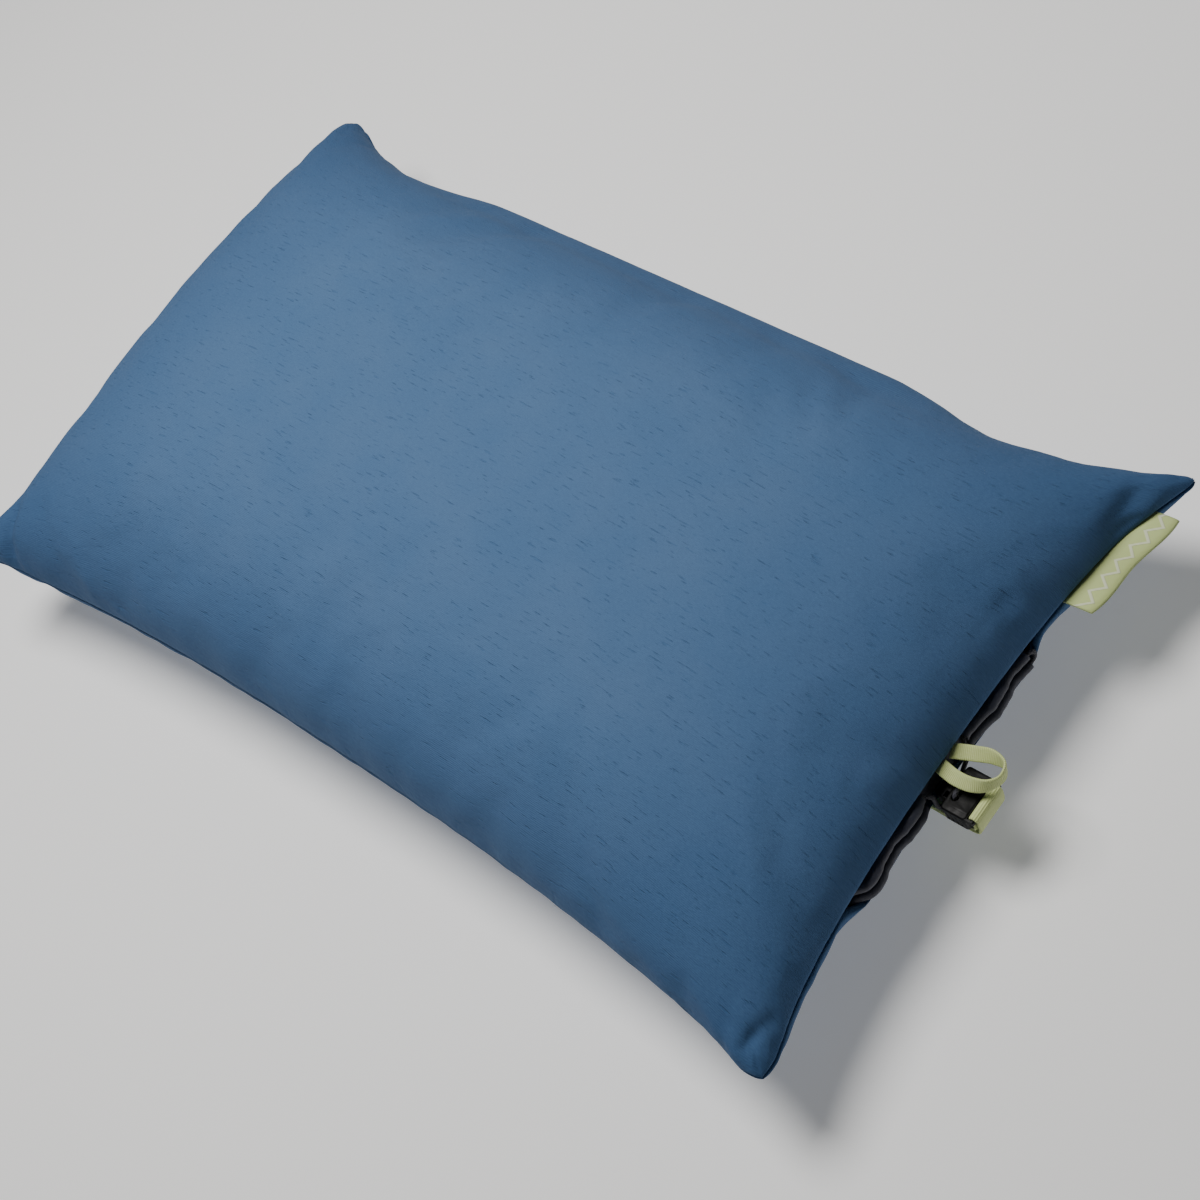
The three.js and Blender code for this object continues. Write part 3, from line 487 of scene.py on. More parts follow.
class Finish:
    """A node material, built up a layer at a time. A socket's name is given with _ for each space."""

    def __init__(self, name, colour, roughness, **sockets):
        self.material = bpy.data.materials.new(name)
        self.material.use_nodes = True
        self.tree = self.material.node_tree
        self.shader = self.tree.nodes["Principled BSDF"]
        self.shader.inputs["Base Color"].default_value = colour
        self.shader.inputs["Roughness"].default_value = roughness
        for socket, value in sockets.items():
            self.shader.inputs[socket.replace("_", " ")].default_value = value
        self.colour = None
        self.bump = None

    def add(self, kind, inputs=(), **settings):
        made = self.tree.nodes.new("ShaderNode" + kind)
        for name, value in settings.items():
            setattr(made, name, value)
        for socket, value in dict(inputs).items():
            target = made.inputs[socket]
            if isinstance(value, bpy.types.NodeSocket):
                self.tree.links.new(value, target)
            else:
                target.default_value = value
        return made

    def place(self, stretch=(1, 1, 1), turn=0.0, uv=None):
        """Where a pattern is read: the piece's own cloth map, or its place in space."""
        if uv:
            source = self.add("UVMap", uv_map=uv).outputs["UV"]
        else:
            source = self.add("TexCoord").outputs["Object"]
        mapped = self.add("Mapping", {"Vector": source, "Scale": stretch, "Rotation": (0, 0, turn)})
        return mapped.outputs["Vector"]

    def wave(self, where, scale, direction="X", distortion=0.0):
        """Even bands, for threads, ribs and weaves."""
        made = self.add("TexWave", {"Vector": where, "Scale": scale, "Distortion": distortion},
                        bands_direction=direction)
        return made.outputs["Fac"]

    def noise(self, where, scale, detail=3.0, rough=0.5):
        made = self.add("TexNoise", {"Vector": where, "Scale": scale, "Detail": detail, "Roughness": rough})
        return made.outputs["Fac"]

    def spread(self, value, low, high, to_low=0.0, to_high=1.0):
        made = self.add("MapRange", {"Value": value, "From Min": low, "From Max": high,
                                     "To Min": to_low, "To Max": to_high})
        return made.outputs["Result"]

    def math(self, operation, first, second=0.5):
        return self.add("Math", {0: first, 1: second}, operation=operation).outputs["Value"]

    def tint(self, amount, colour):
        """Mixes a colour over what is there, by an amount."""
        under = self.colour or self.shader.inputs["Base Color"].default_value[:]
        # A Mix node's factor, first colour, second colour and result, among its many sockets.
        mix = self.add("Mix", {0: amount, 6: under, 7: colour}, data_type="RGBA")
        self.colour = mix.outputs[2]
        self.tree.links.new(self.colour, self.shader.inputs["Base Color"])
        return self

    def mottle(self, where, scale, low, high, amount, colour, detail=3.0):
        """Soft patches of another colour."""
        return self.tint(self.spread(self.noise(where, scale, detail), low, high, 0, amount), colour)

    def raise_by(self, height, distance, strength=1.0):
        """Bump from a height, with its depth in metres."""
        made = self.add("Bump", {"Height": height, "Distance": distance, "Strength": strength})
        if self.bump:
            self.tree.links.new(self.bump, made.inputs["Normal"])
        self.bump = made.outputs["Normal"]
        self.tree.links.new(self.bump, self.shader.inputs["Normal"])
        return self

    def roughen(self, value):
        self.tree.links.new(value, self.shader.inputs["Roughness"])
        return self


def brushed_cover():
    blue = Finish("brushed_cover", linear(82, 111, 149), 0.9, Specular_IOR_Level=0.12, Sheen_Weight=0.03,
                  Sheen_Roughness=0.45, Sheen_Tint=(0.75, 0.86, 1, 1))
    flat = blue.place(uv="cloth")
    cloudy = blue.noise(flat, 14, 3, 0.55)
    blue.tint(blue.spread(cloudy, 0.35, 0.7, 0, 0.22), linear(54, 94, 138))
    # Painted shade: the colour darkens towards the panel's edges, where it turns down to its seam, and stands
    # in for the shade that falls there.
    edge_shade_place = blue.add("SeparateXYZ", {"Vector": flat})
    for axis, middle in (("X", 0.5), ("Y", WIDTH / LENGTH / 2)):
        off = blue.math("ABSOLUTE", blue.math("SUBTRACT", edge_shade_place.outputs[axis], middle), 0.0)
        blue.tint(blue.spread(off, 0.55 * middle, middle, 0, 0.5), linear(50, 80, 120))
    # Slubs: short flecks along the length of the cloth, dented by the bump further down; their darker tint is
    # painted shade of these small dents.
    long_way = blue.place((1, 7, 1), uv="cloth")
    fleck_dent_and_shade = blue.spread(blue.noise(long_way, 62, 2, 0.4), 0.63, 0.72)
    blue.tint(blue.math("MULTIPLY", fleck_dent_and_shade, 0.26), linear(42, 80, 122))
    brushed = blue.noise(blue.place((1, 3.2, 1), uv="cloth"), 260, 3, 0.6)
    blue.tint(blue.spread(brushed, 0.35, 0.75, 0, 0.16), linear(100, 142, 180))
    soft_dents = blue.noise(blue.place((1, 2.2, 1), uv="cloth"), 34, 2, 0.45)
    blue.raise_by(soft_dents, 0.0012, 0.35)
    blue.raise_by(fleck_dent_and_shade, -0.0004, 0.5)
    rows = blue.add("TexWave", {"Vector": flat, "Scale": 210.0, "Distortion": 1.2, "Detail": 1.0,
                                "Detail Scale": 2.0}, bands_direction="Y").outputs["Fac"]
    blue.raise_by(rows, 0.00012, 0.5)
    blue.raise_by(brushed, 0.00025, 0.55)
    return blue.material


cover_blue = brushed_cover()
plan_u, plan_v, crown_move, belly_move = blow_cover()
crown_cloth = settle(plan_u, plan_v, crown_move, 1, TOP_CROWN)
belly_cloth = settle(plan_u, plan_v, belly_move, -1, BELLY_DEPTH)
cover_top = panel("cover_crown_panel", plan_u, plan_v, crown_cloth, 1)
cover_belly = panel("cover_belly_panel", plan_u, plan_v, belly_cloth, -1)
for piece, node in ((cover_top, "cover_top_panel"), (cover_belly, "cover_bottom_panel")):
    piece.data.materials.append(cover_blue)
    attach(piece, "pillow")
    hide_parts(node)


# ---- ribbons, cords and other swept pieces ----
def curve_through(points, count):
    """A smooth line through points, in count even steps."""
    knots = np.asarray(points, float)
    padded = np.concatenate([[2 * knots[0] - knots[1]], knots, [2 * knots[-1] - knots[-2]]])
    fine = []
    for i in range(len(knots) - 1):
        p0, p1, p2, p3 = padded[i:i + 4]
        t1 = np.linalg.norm(p1 - p0) ** 0.5
        t2 = t1 + np.linalg.norm(p2 - p1) ** 0.5
        t3 = t2 + np.linalg.norm(p3 - p2) ** 0.5
        t = np.linspace(t1, t2, 24, endpoint=False)[:, None]
        a1 = (t1 - t) / t1 * p0 + t / t1 * p1
        a2 = (t2 - t) / (t2 - t1) * p1 + (t - t1) / (t2 - t1) * p2
        a3 = (t3 - t) / (t3 - t2) * p2 + (t - t2) / (t3 - t2) * p3
        b1 = (t2 - t) / t2 * a1 + t / t2 * a2
        b2 = (t3 - t) / (t3 - t1) * a2 + (t - t1) / (t3 - t1) * a3
        fine.append((t2 - t) / (t2 - t1) * b1 + (t - t1) / (t2 - t1) * b2)
    fine = np.concatenate(fine + [knots[-1:]])
    run = np.concatenate([[0], np.cumsum(np.linalg.norm(np.diff(fine, axis=0), axis=1))])
    even = np.linspace(0, run[-1], count + 1)
    return np.stack([np.interp(even, run, fine[:, k]) for k in range(3)], axis=1), run[-1]


def unit(vectors):
    return vectors / np.maximum(np.linalg.norm(vectors, axis=-1, keepdims=True), 1e-9)


def sweep(name, rings, run, around):
    """A closed body from rings of points. Its cloth map has the way along in x and the way round in y."""
    count, sides = rings.shape[:2]
    numbers = np.arange(count * sides).reshape(count, sides)
    after = np.roll(numbers, -1, axis=1)
    quads = np.stack([numbers[:-1], after[:-1], after[1:], numbers[1:]], axis=-1).reshape(-1, 4)
    faces = [list(q) for q in quads] + [list(numbers[0][::-1]), list(numbers[-1])]
    piece = new_mesh(name, rings.reshape(-1, 3), faces)
    cloth = piece.data.uv_layers.new(name="cloth")
    along = np.repeat(np.linspace(0, run, count), sides)
    across = np.tile(np.asarray(around, float), count)
    for loop in piece.data.loops:
        n = loop.vertex_index
        cloth.data[loop.index].uv = (along[n] * MM, across[n] * MM)
    shade_smooth(piece)
    return piece


def band(name, path, run, widthways, thickways, width, thickness, steps_across=6):
    """Flat tape along a path, with rounded edges."""
    half, thick = width / 2, thickness / 2
    across = np.linspace(-1, 1, steps_across + 1) * (half - thick)
    profile = [(w, thick) for w in across]
    profile += [(half - thick * 0.3, thick * 0.72), (half, 0), (half - thick * 0.3, -thick * 0.72)]
    profile += [(w, -thick) for w in across[::-1]]
    profile += [(-half + thick * 0.3, -thick * 0.72), (-half, 0), (-half + thick * 0.3, thick * 0.72)]
    profile = np.array(profile)
    rings = (path[:, None, :] + widthways[:, None, :] * profile[None, :, :1]
             + thickways[:, None, :] * profile[None, :, 1:])
    return sweep(name, rings, run, profile[:, 0])


def tube(name, path, run, radius, sides=10):
    """Round cord along a path."""
    tangent = unit(np.gradient(path, axis=0))
    frame_up = np.zeros_like(path)
    up = np.cross(tangent[0], [0.3, 0.2, 1])
    for i, t in enumerate(tangent):
        up = up - t * np.dot(up, t)
        up = up / np.linalg.norm(up)
        frame_up[i] = up
    side = np.cross(tangent, frame_up)
    turn = np.linspace(0, 2 * math.pi, sides, endpoint=False)
    circle = (np.cos(turn)[None, :, None] * frame_up[:, None, :]
              + np.sin(turn)[None, :, None] * side[:, None, :])
    return sweep(name, path[:, None, :] + circle * radius, run, turn * radius)


def finish_piece(piece, material, body, nodes):
    piece.data.materials.clear()
    piece.data.materials.append(material)
    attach(piece, body)
    if nodes:
        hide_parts(*nodes)
    return piece


def face_out(piece):
    """Turns every face of a closed piece outwards."""
    only(piece)
    bpy.ops.object.mode_set(mode="EDIT")
    bpy.ops.mesh.select_all(action="SELECT")
    bpy.ops.mesh.normals_make_consistent(inside=False)
    bpy.ops.object.mode_set(mode="OBJECT")


def seam_x(y):
    return LENGTH / 2 - PULL_LABEL_END * bow(y / (WIDTH / 2))


# ---- lime tape: pull loop, side label, lock strap ----
def lime_tape():
    lime = Finish("lime_tape", linear(212, 224, 150), 0.78, Sheen_Weight=0.15)
    ribs = lime.wave(lime.place(uv="cloth"), 480.0, distortion=0.35)
    threads = lime.noise(lime.place((1, 9, 1), uv="cloth"), 420, 2, 0.5)
    lime.tint(lime.spread(ribs, 0.0, 0.5, 0.34, 0), linear(176, 192, 108))
    lime.tint(lime.spread(threads, 0.45, 0.75, 0, 0.3), linear(232, 238, 188))
    lime.raise_by(ribs, 0.00022, 0.7)
    lime.raise_by(threads, 0.00012, 0.5)
    return lime.material


# How far the label's zigzag runs before it turns back, in metres.
ZIGZAG_REACH = 0.0036


def woven_label():
    weave = Finish("woven_label", linear(204, 219, 146), 0.62, Sheen_Weight=0.2)
    parts = weave.add("SeparateXYZ", {"Vector": weave.place(uv="cloth")})
    along, across = parts.outputs["X"], parts.outputs["Y"]
    # A pale zigzag down the middle of the tab.
    saw = weave.math("PINGPONG", along, ZIGZAG_REACH)
    line = weave.math("ADD", weave.math("MULTIPLY", saw, 1.1), ZIGZAG_REACH)
    off = weave.math("ABSOLUTE", weave.math("SUBTRACT", across, line))
    zigzag = weave.spread(off, 0.00055, 0.00085, 1, 0)
    weave.tint(weave.math("MULTIPLY", zigzag, 0.8), linear(236, 240, 214))
    satin = weave.wave(weave.place(uv="cloth", turn=0.5), 620.0, distortion=0.5)
    weave.tint(weave.spread(satin, 0, 0.55, 0.2, 0), linear(172, 188, 104))
    weave.raise_by(satin, 0.00014, 0.5)
    weave.raise_by(zigzag, 0.0002, 0.7)
    return weave.material


def make_pull_loop():
    """Tape out of the seam, round and back into it: its ends lie over and its eye stands on edge."""
    route = [(202.4, -4.6, 42.1), (205.6, -5.3, 42.3), (210, -5.9, 42.4), (216, -5.3, 42.4),
             (221, -2.7, 42.3), (223.5, 1.8, 42.1), (221.9, 6.1, 42.1), (216.6, 6.8, 42.3),
             (210.6, 4.9, 42.3), (205.6, 3.0, 42.3), (202.4, 1.9, 42.1)]
    path, run = curve_through(route, 84)
    tangent = unit(np.gradient(path, axis=0))
    up = np.array([0, 0, 1.0])
    outward = unit(np.cross(up, tangent))
    t = np.linspace(0, 1, len(path))
    lean = 0.34 + 0.62 * np.sin(math.pi * t) ** 2
    hold = smooth(np.abs(t - 0.5), 0, 0.25) * np.where(t < 0.5, -1, 1)
    tilt = ((math.pi / 2 - lean) * hold)[:, None]
    widthways = up * np.cos(tilt) + np.cross(tangent, up) * np.sin(tilt)
    thickways = outward * np.cos(tilt) + np.cross(tangent, outward) * np.sin(tilt)
    return band("pull_loop_tape", path, run, unit(widthways), unit(thickways), 5.6, 1.0)


LABEL_SPAN = (67.8, 112.4)
LABEL_REACH = 10.4


def make_label():
    """A woven tab folded in two, a little bowed, with its fold outwards."""
    low, high = LABEL_SPAN
    rows = np.linspace(low, high, 61)
    middle = (rows - (low + high) / 2) / ((high - low) / 2)
    reach = LABEL_REACH * (1 - 0.05 * middle ** 8) - 0.7 * np.cos(rows * 0.21)
    profile = [(-3.2, 0.42), (0.0, 0.5), (0.25, 0.62), (0.5, 0.68), (0.75, 0.7), (0.93, 0.62), (1.0, 0.0),
               (0.93, -0.62), (0.75, -0.7), (0.5, -0.68), (0.25, -0.62), (0.0, -0.5), (-3.2, -0.42)]
    rings = np.zeros((len(rows), len(profile), 3))
    around = []
    for k, (out, high_up) in enumerate(profile):
        inner = min(out, 0.0)
        part = max(out, 0.0)
        x = seam_x(rows) + 0.4 + inner + part * reach
        rings[:, k, 0] = x
        rings[:, k, 1] = rows + part * 0.9
        droop = -1.1 * part ** 2 + 0.45 * part * np.sin(rows * 0.19 + 0.6)
        rings[:, k, 2] = SEAM_Z + 0.05 + droop + high_up
        around.append(part * LABEL_REACH if high_up >= 0 else 21 - part * LABEL_REACH)
    round_ends = 1 - 0.16 * np.abs(middle) ** 10
    rings[:, :, 2] = SEAM_Z + (rings[:, :, 2] - SEAM_Z) * round_ends[:, None]
    return sweep("side_label_tab", rings, high - low, around)


# The cord lock: where it starts, its middle, its block's end, its outer bar and its two cord holes.
LOCK_X = 207.6
LOCK_Y = -6.8
LOCK_Z = SEAM_Z - 11
BLOCK_END = LOCK_X + 10.6
BAR_X = 220
BAR_END = BAR_X + 1.3
LOCK_HALF_WIDTH = 9
LOCK_HALF_HEIGHT = 4.5
LOCK_TOP = LOCK_Z + LOCK_HALF_HEIGHT
LOCK_BOTTOM = LOCK_Z - LOCK_HALF_HEIGHT
LOCK_FRONT = LOCK_Y - LOCK_HALF_WIDTH
LOCK_REAR = LOCK_Y + LOCK_HALF_WIDTH
HOLE_X = 210.4
HOLE_OFF = 3.3
STRAP_WIDTH = 15


def make_lock_strap():
    """Webbing out of the seam under the lock, up through its slot, over its bar and back."""
    top = LOCK_TOP
    slot_x = (BLOCK_END + BAR_X) / 2
    out_x = BAR_END + 0.9
    route = [(193.6, top - 11.2), (197.4, top - 11.4), (206, top - 11.7), (213, top - 11.7),
             (217.2, top - 11.4), (slot_x, top - 9.2), (slot_x, top - 5), (slot_x, top - 0.9),
             (slot_x + 0.6, top + 0.3), ((slot_x + out_x) / 2, top + 0.75), (out_x - 0.5, top + 0.3),
             (out_x, top - 1), (out_x - 0.2, top - 3.6), (out_x - 1.3, top - 9.6), (out_x - 2.6, top - 12.4),
             (217.2, top - 13.4), (206, top - 13.6), (197.4, top - 13.2), (193.8, top - 12.9)]
    path, run = curve_through([(x, LOCK_Y, z) for x, z in route], 150)
    tangent = unit(np.gradient(path, axis=0))
    widthways = np.tile([0, 1.0, 0], (len(path), 1))
    thickways = unit(np.cross(tangent, widthways))
    return band("lock_strap_webbing", path, run, widthways, thickways, STRAP_WIDTH, 1.1, 10)


lime = lime_tape()
finish_piece(make_pull_loop(), lime, "loop", ["pull_loop"])
finish_piece(make_label(), woven_label(), "pillow", ["side_label"])
finish_piece(make_lock_strap(), lime, "pillow", ["lock_strap"])


# ---- mouth of the stuff sack: gathered lips and the drawcord in them ----
UPPER_LIP = -2.7
LOWER_LIP = -8.9
LIP_SPANS = {"front": (-85, -17), "rear": (9, 45)}
# Length of one scallop of the gathered lips, points round a lip's skin, and the radius of its bore.
SCALLOP = 25
LIP_SIDES = 16
LIP_BORE = 1.22


def mouth_inset(y):
    """The front end of the mouth is tucked in behind the belly panel."""
    return 8.6 * (1 - smooth(y, -68, -50))


def lip_x(y):
    return seam_x(y) - 0.6 + 0.6 * np.cos(2 * math.pi * y / SCALLOP) - mouth_inset(y)


def make_lip(name, drop, span):
    """One stretch of a lip: a fabric channel round the drawcord, gathered along its length."""
    way = 1 if drop == UPPER_LIP else -1
    y = np.linspace(span[0], span[1], int((span[1] - span[0]) / 0.55))
    outer = [(1.95, 0.1), (1.8, 0.85), (1.3, 1.5), (0.5, 1.9), (-0.6, 2.0), (-1.9, 1.95), (-3.4, 1.9),
             (-5.2, 1.85), (-5.2, 0.9), (-3.4, 0.8), (-2.1, 0.1), (-1.8, -0.8), (-1.1, -1.6), (0.0, -1.95),
             (1.0, -1.65), (1.7, -0.9)]
    turn = [math.atan2(b, a) for a, b in outer]
    inner = [(LIP_BORE * math.cos(t), LIP_BORE * math.sin(t)) for t in turn]
    puff = 0.55 + 0.45 * np.cos(2 * math.pi * y / SCALLOP)
    pleat = (0.035 * np.sin(2 * math.pi * y / 4.3 + 1.6 * np.sin(y * 0.17))
             + 0.07 * np.sin(2 * math.pi * y / 7.7 + 1.1 + np.sin(y * 0.11)))
    ends = np.minimum(smooth(y, span[0] - 0.4, span[0] + 2.5), 1 - smooth(y, span[1] - 2.5, span[1] + 0.4))
    rings = np.zeros((len(y), 2 * LIP_SIDES, 3))
    for k, (out, up) in enumerate(outer + inner[::-1]):
        skin = k < LIP_SIDES
        round_part = max(0.0, min(1.0, (out + 2) / 2)) if skin else 0.0
        grow = 1 + round_part * (0.3 * puff + 1.1 * pleat) * (0.35 + 0.65 * ends)
        tail = 0.5 * pleat * (1 - round_part) if skin else 0
        rings[:, k, 0] = lip_x(y) + out * grow
        rings[:, k, 1] = y
        rings[:, k, 2] = SEAM_Z + drop + way * (up * (1 + (grow - 1) * 0.35) + tail)
    count = len(y)
    numbers = np.arange(count * 2 * LIP_SIDES).reshape(count, 2 * LIP_SIDES)
    skin, bore = numbers[:, :LIP_SIDES], numbers[:, LIP_SIDES:][:, ::-1]
    faces = []
    for ring, flip in ((skin, False), (bore, True)):
        nxt = np.roll(ring, -1, axis=1)
        quad = np.stack([ring[:-1], nxt[:-1], nxt[1:], ring[1:]], axis=-1).reshape(-1, 4)
        faces += [list(q[::-1]) if flip else list(q) for q in quad]
    for end, flip in ((0, True), (count - 1, False)):
        for k in range(LIP_SIDES):
            n = (k + 1) % LIP_SIDES
            quad = [skin[end, k], skin[end, n], bore[end, n], bore[end, k]]
            faces.append(quad[::-1] if flip else quad)
    piece = new_mesh(name, rings.reshape(-1, 3), faces)
    face_out(piece)
    shade_smooth(piece)
    return piece


def dark_nylon():
    nylon = Finish("dark_nylon", linear(54, 58, 72), 0.6, Sheen_Weight=0.1)
    place = nylon.place()
    nylon.mottle(place, 60, 0.35, 0.7, 0.5, linear(70, 70, 86))
    for direction in ("Y", "Z"):
        ripstop = nylon.wave(place, 62.0, direction, 0.3)
        nylon.raise_by(nylon.spread(ripstop, 0.9, 0.98), 0.00012, 0.5)
    nylon.raise_by(nylon.noise(place, 900, 2), 0.00016, 0.5)
    nylon.raise_by(nylon.noise(place, 130, 3, 0.6), 0.0009, 0.5)
    return nylon.material


nylon = dark_nylon()
for level, drop in (("upper", UPPER_LIP), ("lower", LOWER_LIP)):
    for end, span in LIP_SPANS.items():
        lip = make_lip(f"mouth_lip_{level}_{end}", drop, span)
        finish_piece(lip, nylon, "pillow", [f"mouth_channel_{level}_{end}"])


CORD_RADIUS = 0.9


def cord_route_half(turn_y, gap_y, way):
    """One side of the drawcord: along the lower lip, back along the upper one, and up through the lock."""
    hole_y = LOCK_Y + way * HOLE_OFF
    inner = gap_y + way * 2
    steps = round(abs(turn_y - inner) / 6)
    stations = [inner + (turn_y - inner) * i / steps for i in range(steps + 1)]
    low, high = SEAM_Z + LOWER_LIP, SEAM_Z + UPPER_LIP
    under = LOCK_BOTTOM - 0.3 - CORD_RADIUS

    def lip(y, z):
        return (float(lip_x(np.float64(y))), y, z)
    return ([lip(y, low) for y in stations]
            + [lip(turn_y + way * 2.7, low + 1), lip(turn_y + way * 3.6, (low + high) / 2),
               lip(turn_y + way * 2.7, high - 1)]
            + [lip(y, high) for y in stations[::-1]]
            + [lip(gap_y - way * 0.6, high - 0.1), (204.6, gap_y - way * 2.4, high - 2),
               (204, gap_y - way * 2.9, LOCK_Z + 1.5), (204.2, LOCK_Y + way * 7, LOCK_Z - 3.2),
               (206, LOCK_Y + way * 4.6, under + 0.2), (208.6, hole_y, under), (210.25, hole_y, under + 0.9),
               (HOLE_X, hole_y, LOCK_Z - 3), (HOLE_X, hole_y, LOCK_Z + 3.6), (HOLE_X, hole_y, LOCK_Z + 4.8),
               (HOLE_X, hole_y - way * 0.9, LOCK_Z + 5.65)])


def braided_cord():
    braid = Finish("braided_cord", linear(58, 58, 66), 0.7)
    for turn in (0.9, -0.9):
        strand = braid.wave(braid.place(uv="cloth", turn=turn), 340.0)
        braid.raise_by(strand, 0.0002, 0.6)
        braid.tint(braid.spread(strand, 0.75, 0.95, 0, 0.3), linear(104, 104, 116))
    braid.raise_by(braid.noise(braid.place(uv="cloth"), 1500, 2), 0.00006, 0.5)
    return braid.material


front_turn, front_gap = LIP_SPANS["front"]
rear_gap, rear_turn = LIP_SPANS["rear"]
cord_points = (cord_route_half(front_turn, front_gap, -1) + [(HOLE_X, LOCK_Y, LOCK_Z + 6.0)]
               + cord_route_half(rear_turn, rear_gap, 1)[::-1])
cord_path, cord_run = curve_through(cord_points, 620)
drawcord = tube("drawcord_braid", cord_path, cord_run, CORD_RADIUS)
finish_piece(drawcord, braided_cord(), "pillow", ["drawcord"])


# ---- hard pieces: primitives shaped in edit mode ----
def block(name, low, high):
    """A box between two corners, in millimetres."""
    bpy.ops.object.select_all(action="DESELECT")
    low, high = np.array(low, float) * MM, np.array(high, float) * MM
    bpy.ops.mesh.primitive_cube_add(size=1, location=(low + high) / 2, scale=high - low)
    piece = bpy.context.object
    piece.name = name
    bpy.ops.object.transform_apply(location=True, rotation=True, scale=True)
    return piece


def rod(name, radius, start, end, sides=24):
    """A cylinder from one point to another, in millimetres."""
    bpy.ops.object.select_all(action="DESELECT")
    start, end = Vector(start) * MM, Vector(end) * MM
    way = (end - start).normalized().to_track_quat("Z", "Y").to_euler()
    bpy.ops.mesh.primitive_cylinder_add(vertices=sides, radius=radius * MM, depth=(end - start).length,
                                        location=(start + end) / 2, rotation=way)
    piece = bpy.context.object
    piece.name = name
    bpy.ops.object.transform_apply(location=True, rotation=True, scale=True)
    return piece


def combine(piece, other, operation):
    only(piece)
    change = piece.modifiers.new("combine", "BOOLEAN")
    change.operation = operation
    change.solver = "EXACT"
    change.object = other
    bpy.ops.object.modifier_apply(modifier=change.name)
    bpy.data.objects.remove(other)


def cut(piece, *tools):
    for tool in tools:
        combine(piece, tool, "DIFFERENCE")


def join_to(piece, *others):
    for other in others:
        combine(piece, other, "UNION")


def edges_where(piece, test):
    """Selects, in edit mode, the edges whose middle and direction pass a test. Millimetres."""
    only(piece)
    bpy.ops.object.mode_set(mode="EDIT")
    bpy.ops.mesh.select_all(action="DESELECT")
    bpy.ops.object.mode_set(mode="OBJECT")
    bpy.context.tool_settings.mesh_select_mode = (False, True, False)
    mesh = piece.data
    for edge in mesh.edges:
        a, b = (mesh.vertices[n].co / MM for n in edge.vertices)
        edge.select = bool(test((a + b) / 2, (b - a).normalized()))
    bpy.ops.object.mode_set(mode="EDIT")


def round_edges(piece, test, width, segments=4):
    edges_where(piece, test)
    bpy.ops.mesh.bevel(offset=width * MM, segments=segments, profile=0.5, affect="EDGES")
    bpy.ops.object.mode_set(mode="OBJECT")


def faces_where(piece, test):
    only(piece)
    bpy.ops.object.mode_set(mode="EDIT")
    bpy.ops.mesh.select_all(action="DESELECT")
    bpy.ops.object.mode_set(mode="OBJECT")
    bpy.context.tool_settings.mesh_select_mode = (False, False, True)
    for face in piece.data.polygons:
        face.select = bool(test(face.center / MM, face.normal))
    bpy.ops.object.mode_set(mode="EDIT")


def inset_panel(piece, test, border, depth):
    """Insets the faces that pass a test and pushes them in (or out, with a negative depth)."""
    faces_where(piece, test)
    bpy.ops.mesh.inset(thickness=border * MM, depth=-depth * MM)
    bpy.ops.object.mode_set(mode="OBJECT")


def soften_edges(piece, width, segments=2, angle=32):
    """Small bevel on every sharp edge, then smooth shading."""
    edge_round = piece.modifiers.new("edge", "BEVEL")
    edge_round.width = width * MM
    edge_round.segments = segments
    edge_round.limit_method = "ANGLE"
    edge_round.angle_limit = math.radians(angle)
    edge_round.harden_normals = False
    apply_modifiers(piece)
    only(piece)
    bpy.ops.object.shade_smooth_by_angle(angle=math.radians(40))
    return piece


def moulded(name, colour, roughness, grain=2200.0, wear=0.4, shine=0.5):
    """Moulded plastic: fine grain, soft flow marks and paler rubbed patches."""
    plastic = Finish(name, colour, roughness, Specular_IOR_Level=shine)
    place = plastic.place()
    pale = [min(1.0, c * 1.9 + 0.012) for c in colour[:3]] + [1]
    rubbed = plastic.spread(plastic.noise(place, 210, 4, 0.6), 0.56, 0.78, 0, wear)
    plastic.tint(rubbed, pale)
    flow = plastic.noise(place, 320, 3)
    plastic.roughen(plastic.spread(flow, 0.3, 0.7, roughness - 0.09, roughness + 0.12))
    plastic.raise_by(plastic.noise(place, grain, 2), 0.00005, 0.5)
    plastic.raise_by(plastic.noise(place, 170, 2), 0.00012, 0.35)
    return plastic.material


def worn_metal(name, colour, roughness):
    metal = Finish(name, colour, roughness, Metallic=1.0)
    place = metal.place()
    scratches = metal.noise(metal.place((1, 14, 14)), 420, 3, 0.6)
    metal.tint(metal.spread(scratches, 0.45, 0.75, 0, 0.5), [min(1, c * 1.5) for c in colour[:3]] + [1])
    metal.roughen(metal.spread(metal.noise(place, 500, 3), 0.3, 0.7, roughness - 0.08, roughness + 0.16))
    metal.raise_by(scratches, 0.00003, 0.5)
    return metal.material


# ---- cord lock ----
POCKET_END = LOCK_X + 9.2
BUTTON_X = 202.4
BUTTON_END = 213.2
SPRING_BORE = 6
SPRING_WIRE = 0.225
SPRING_TURNS = 5


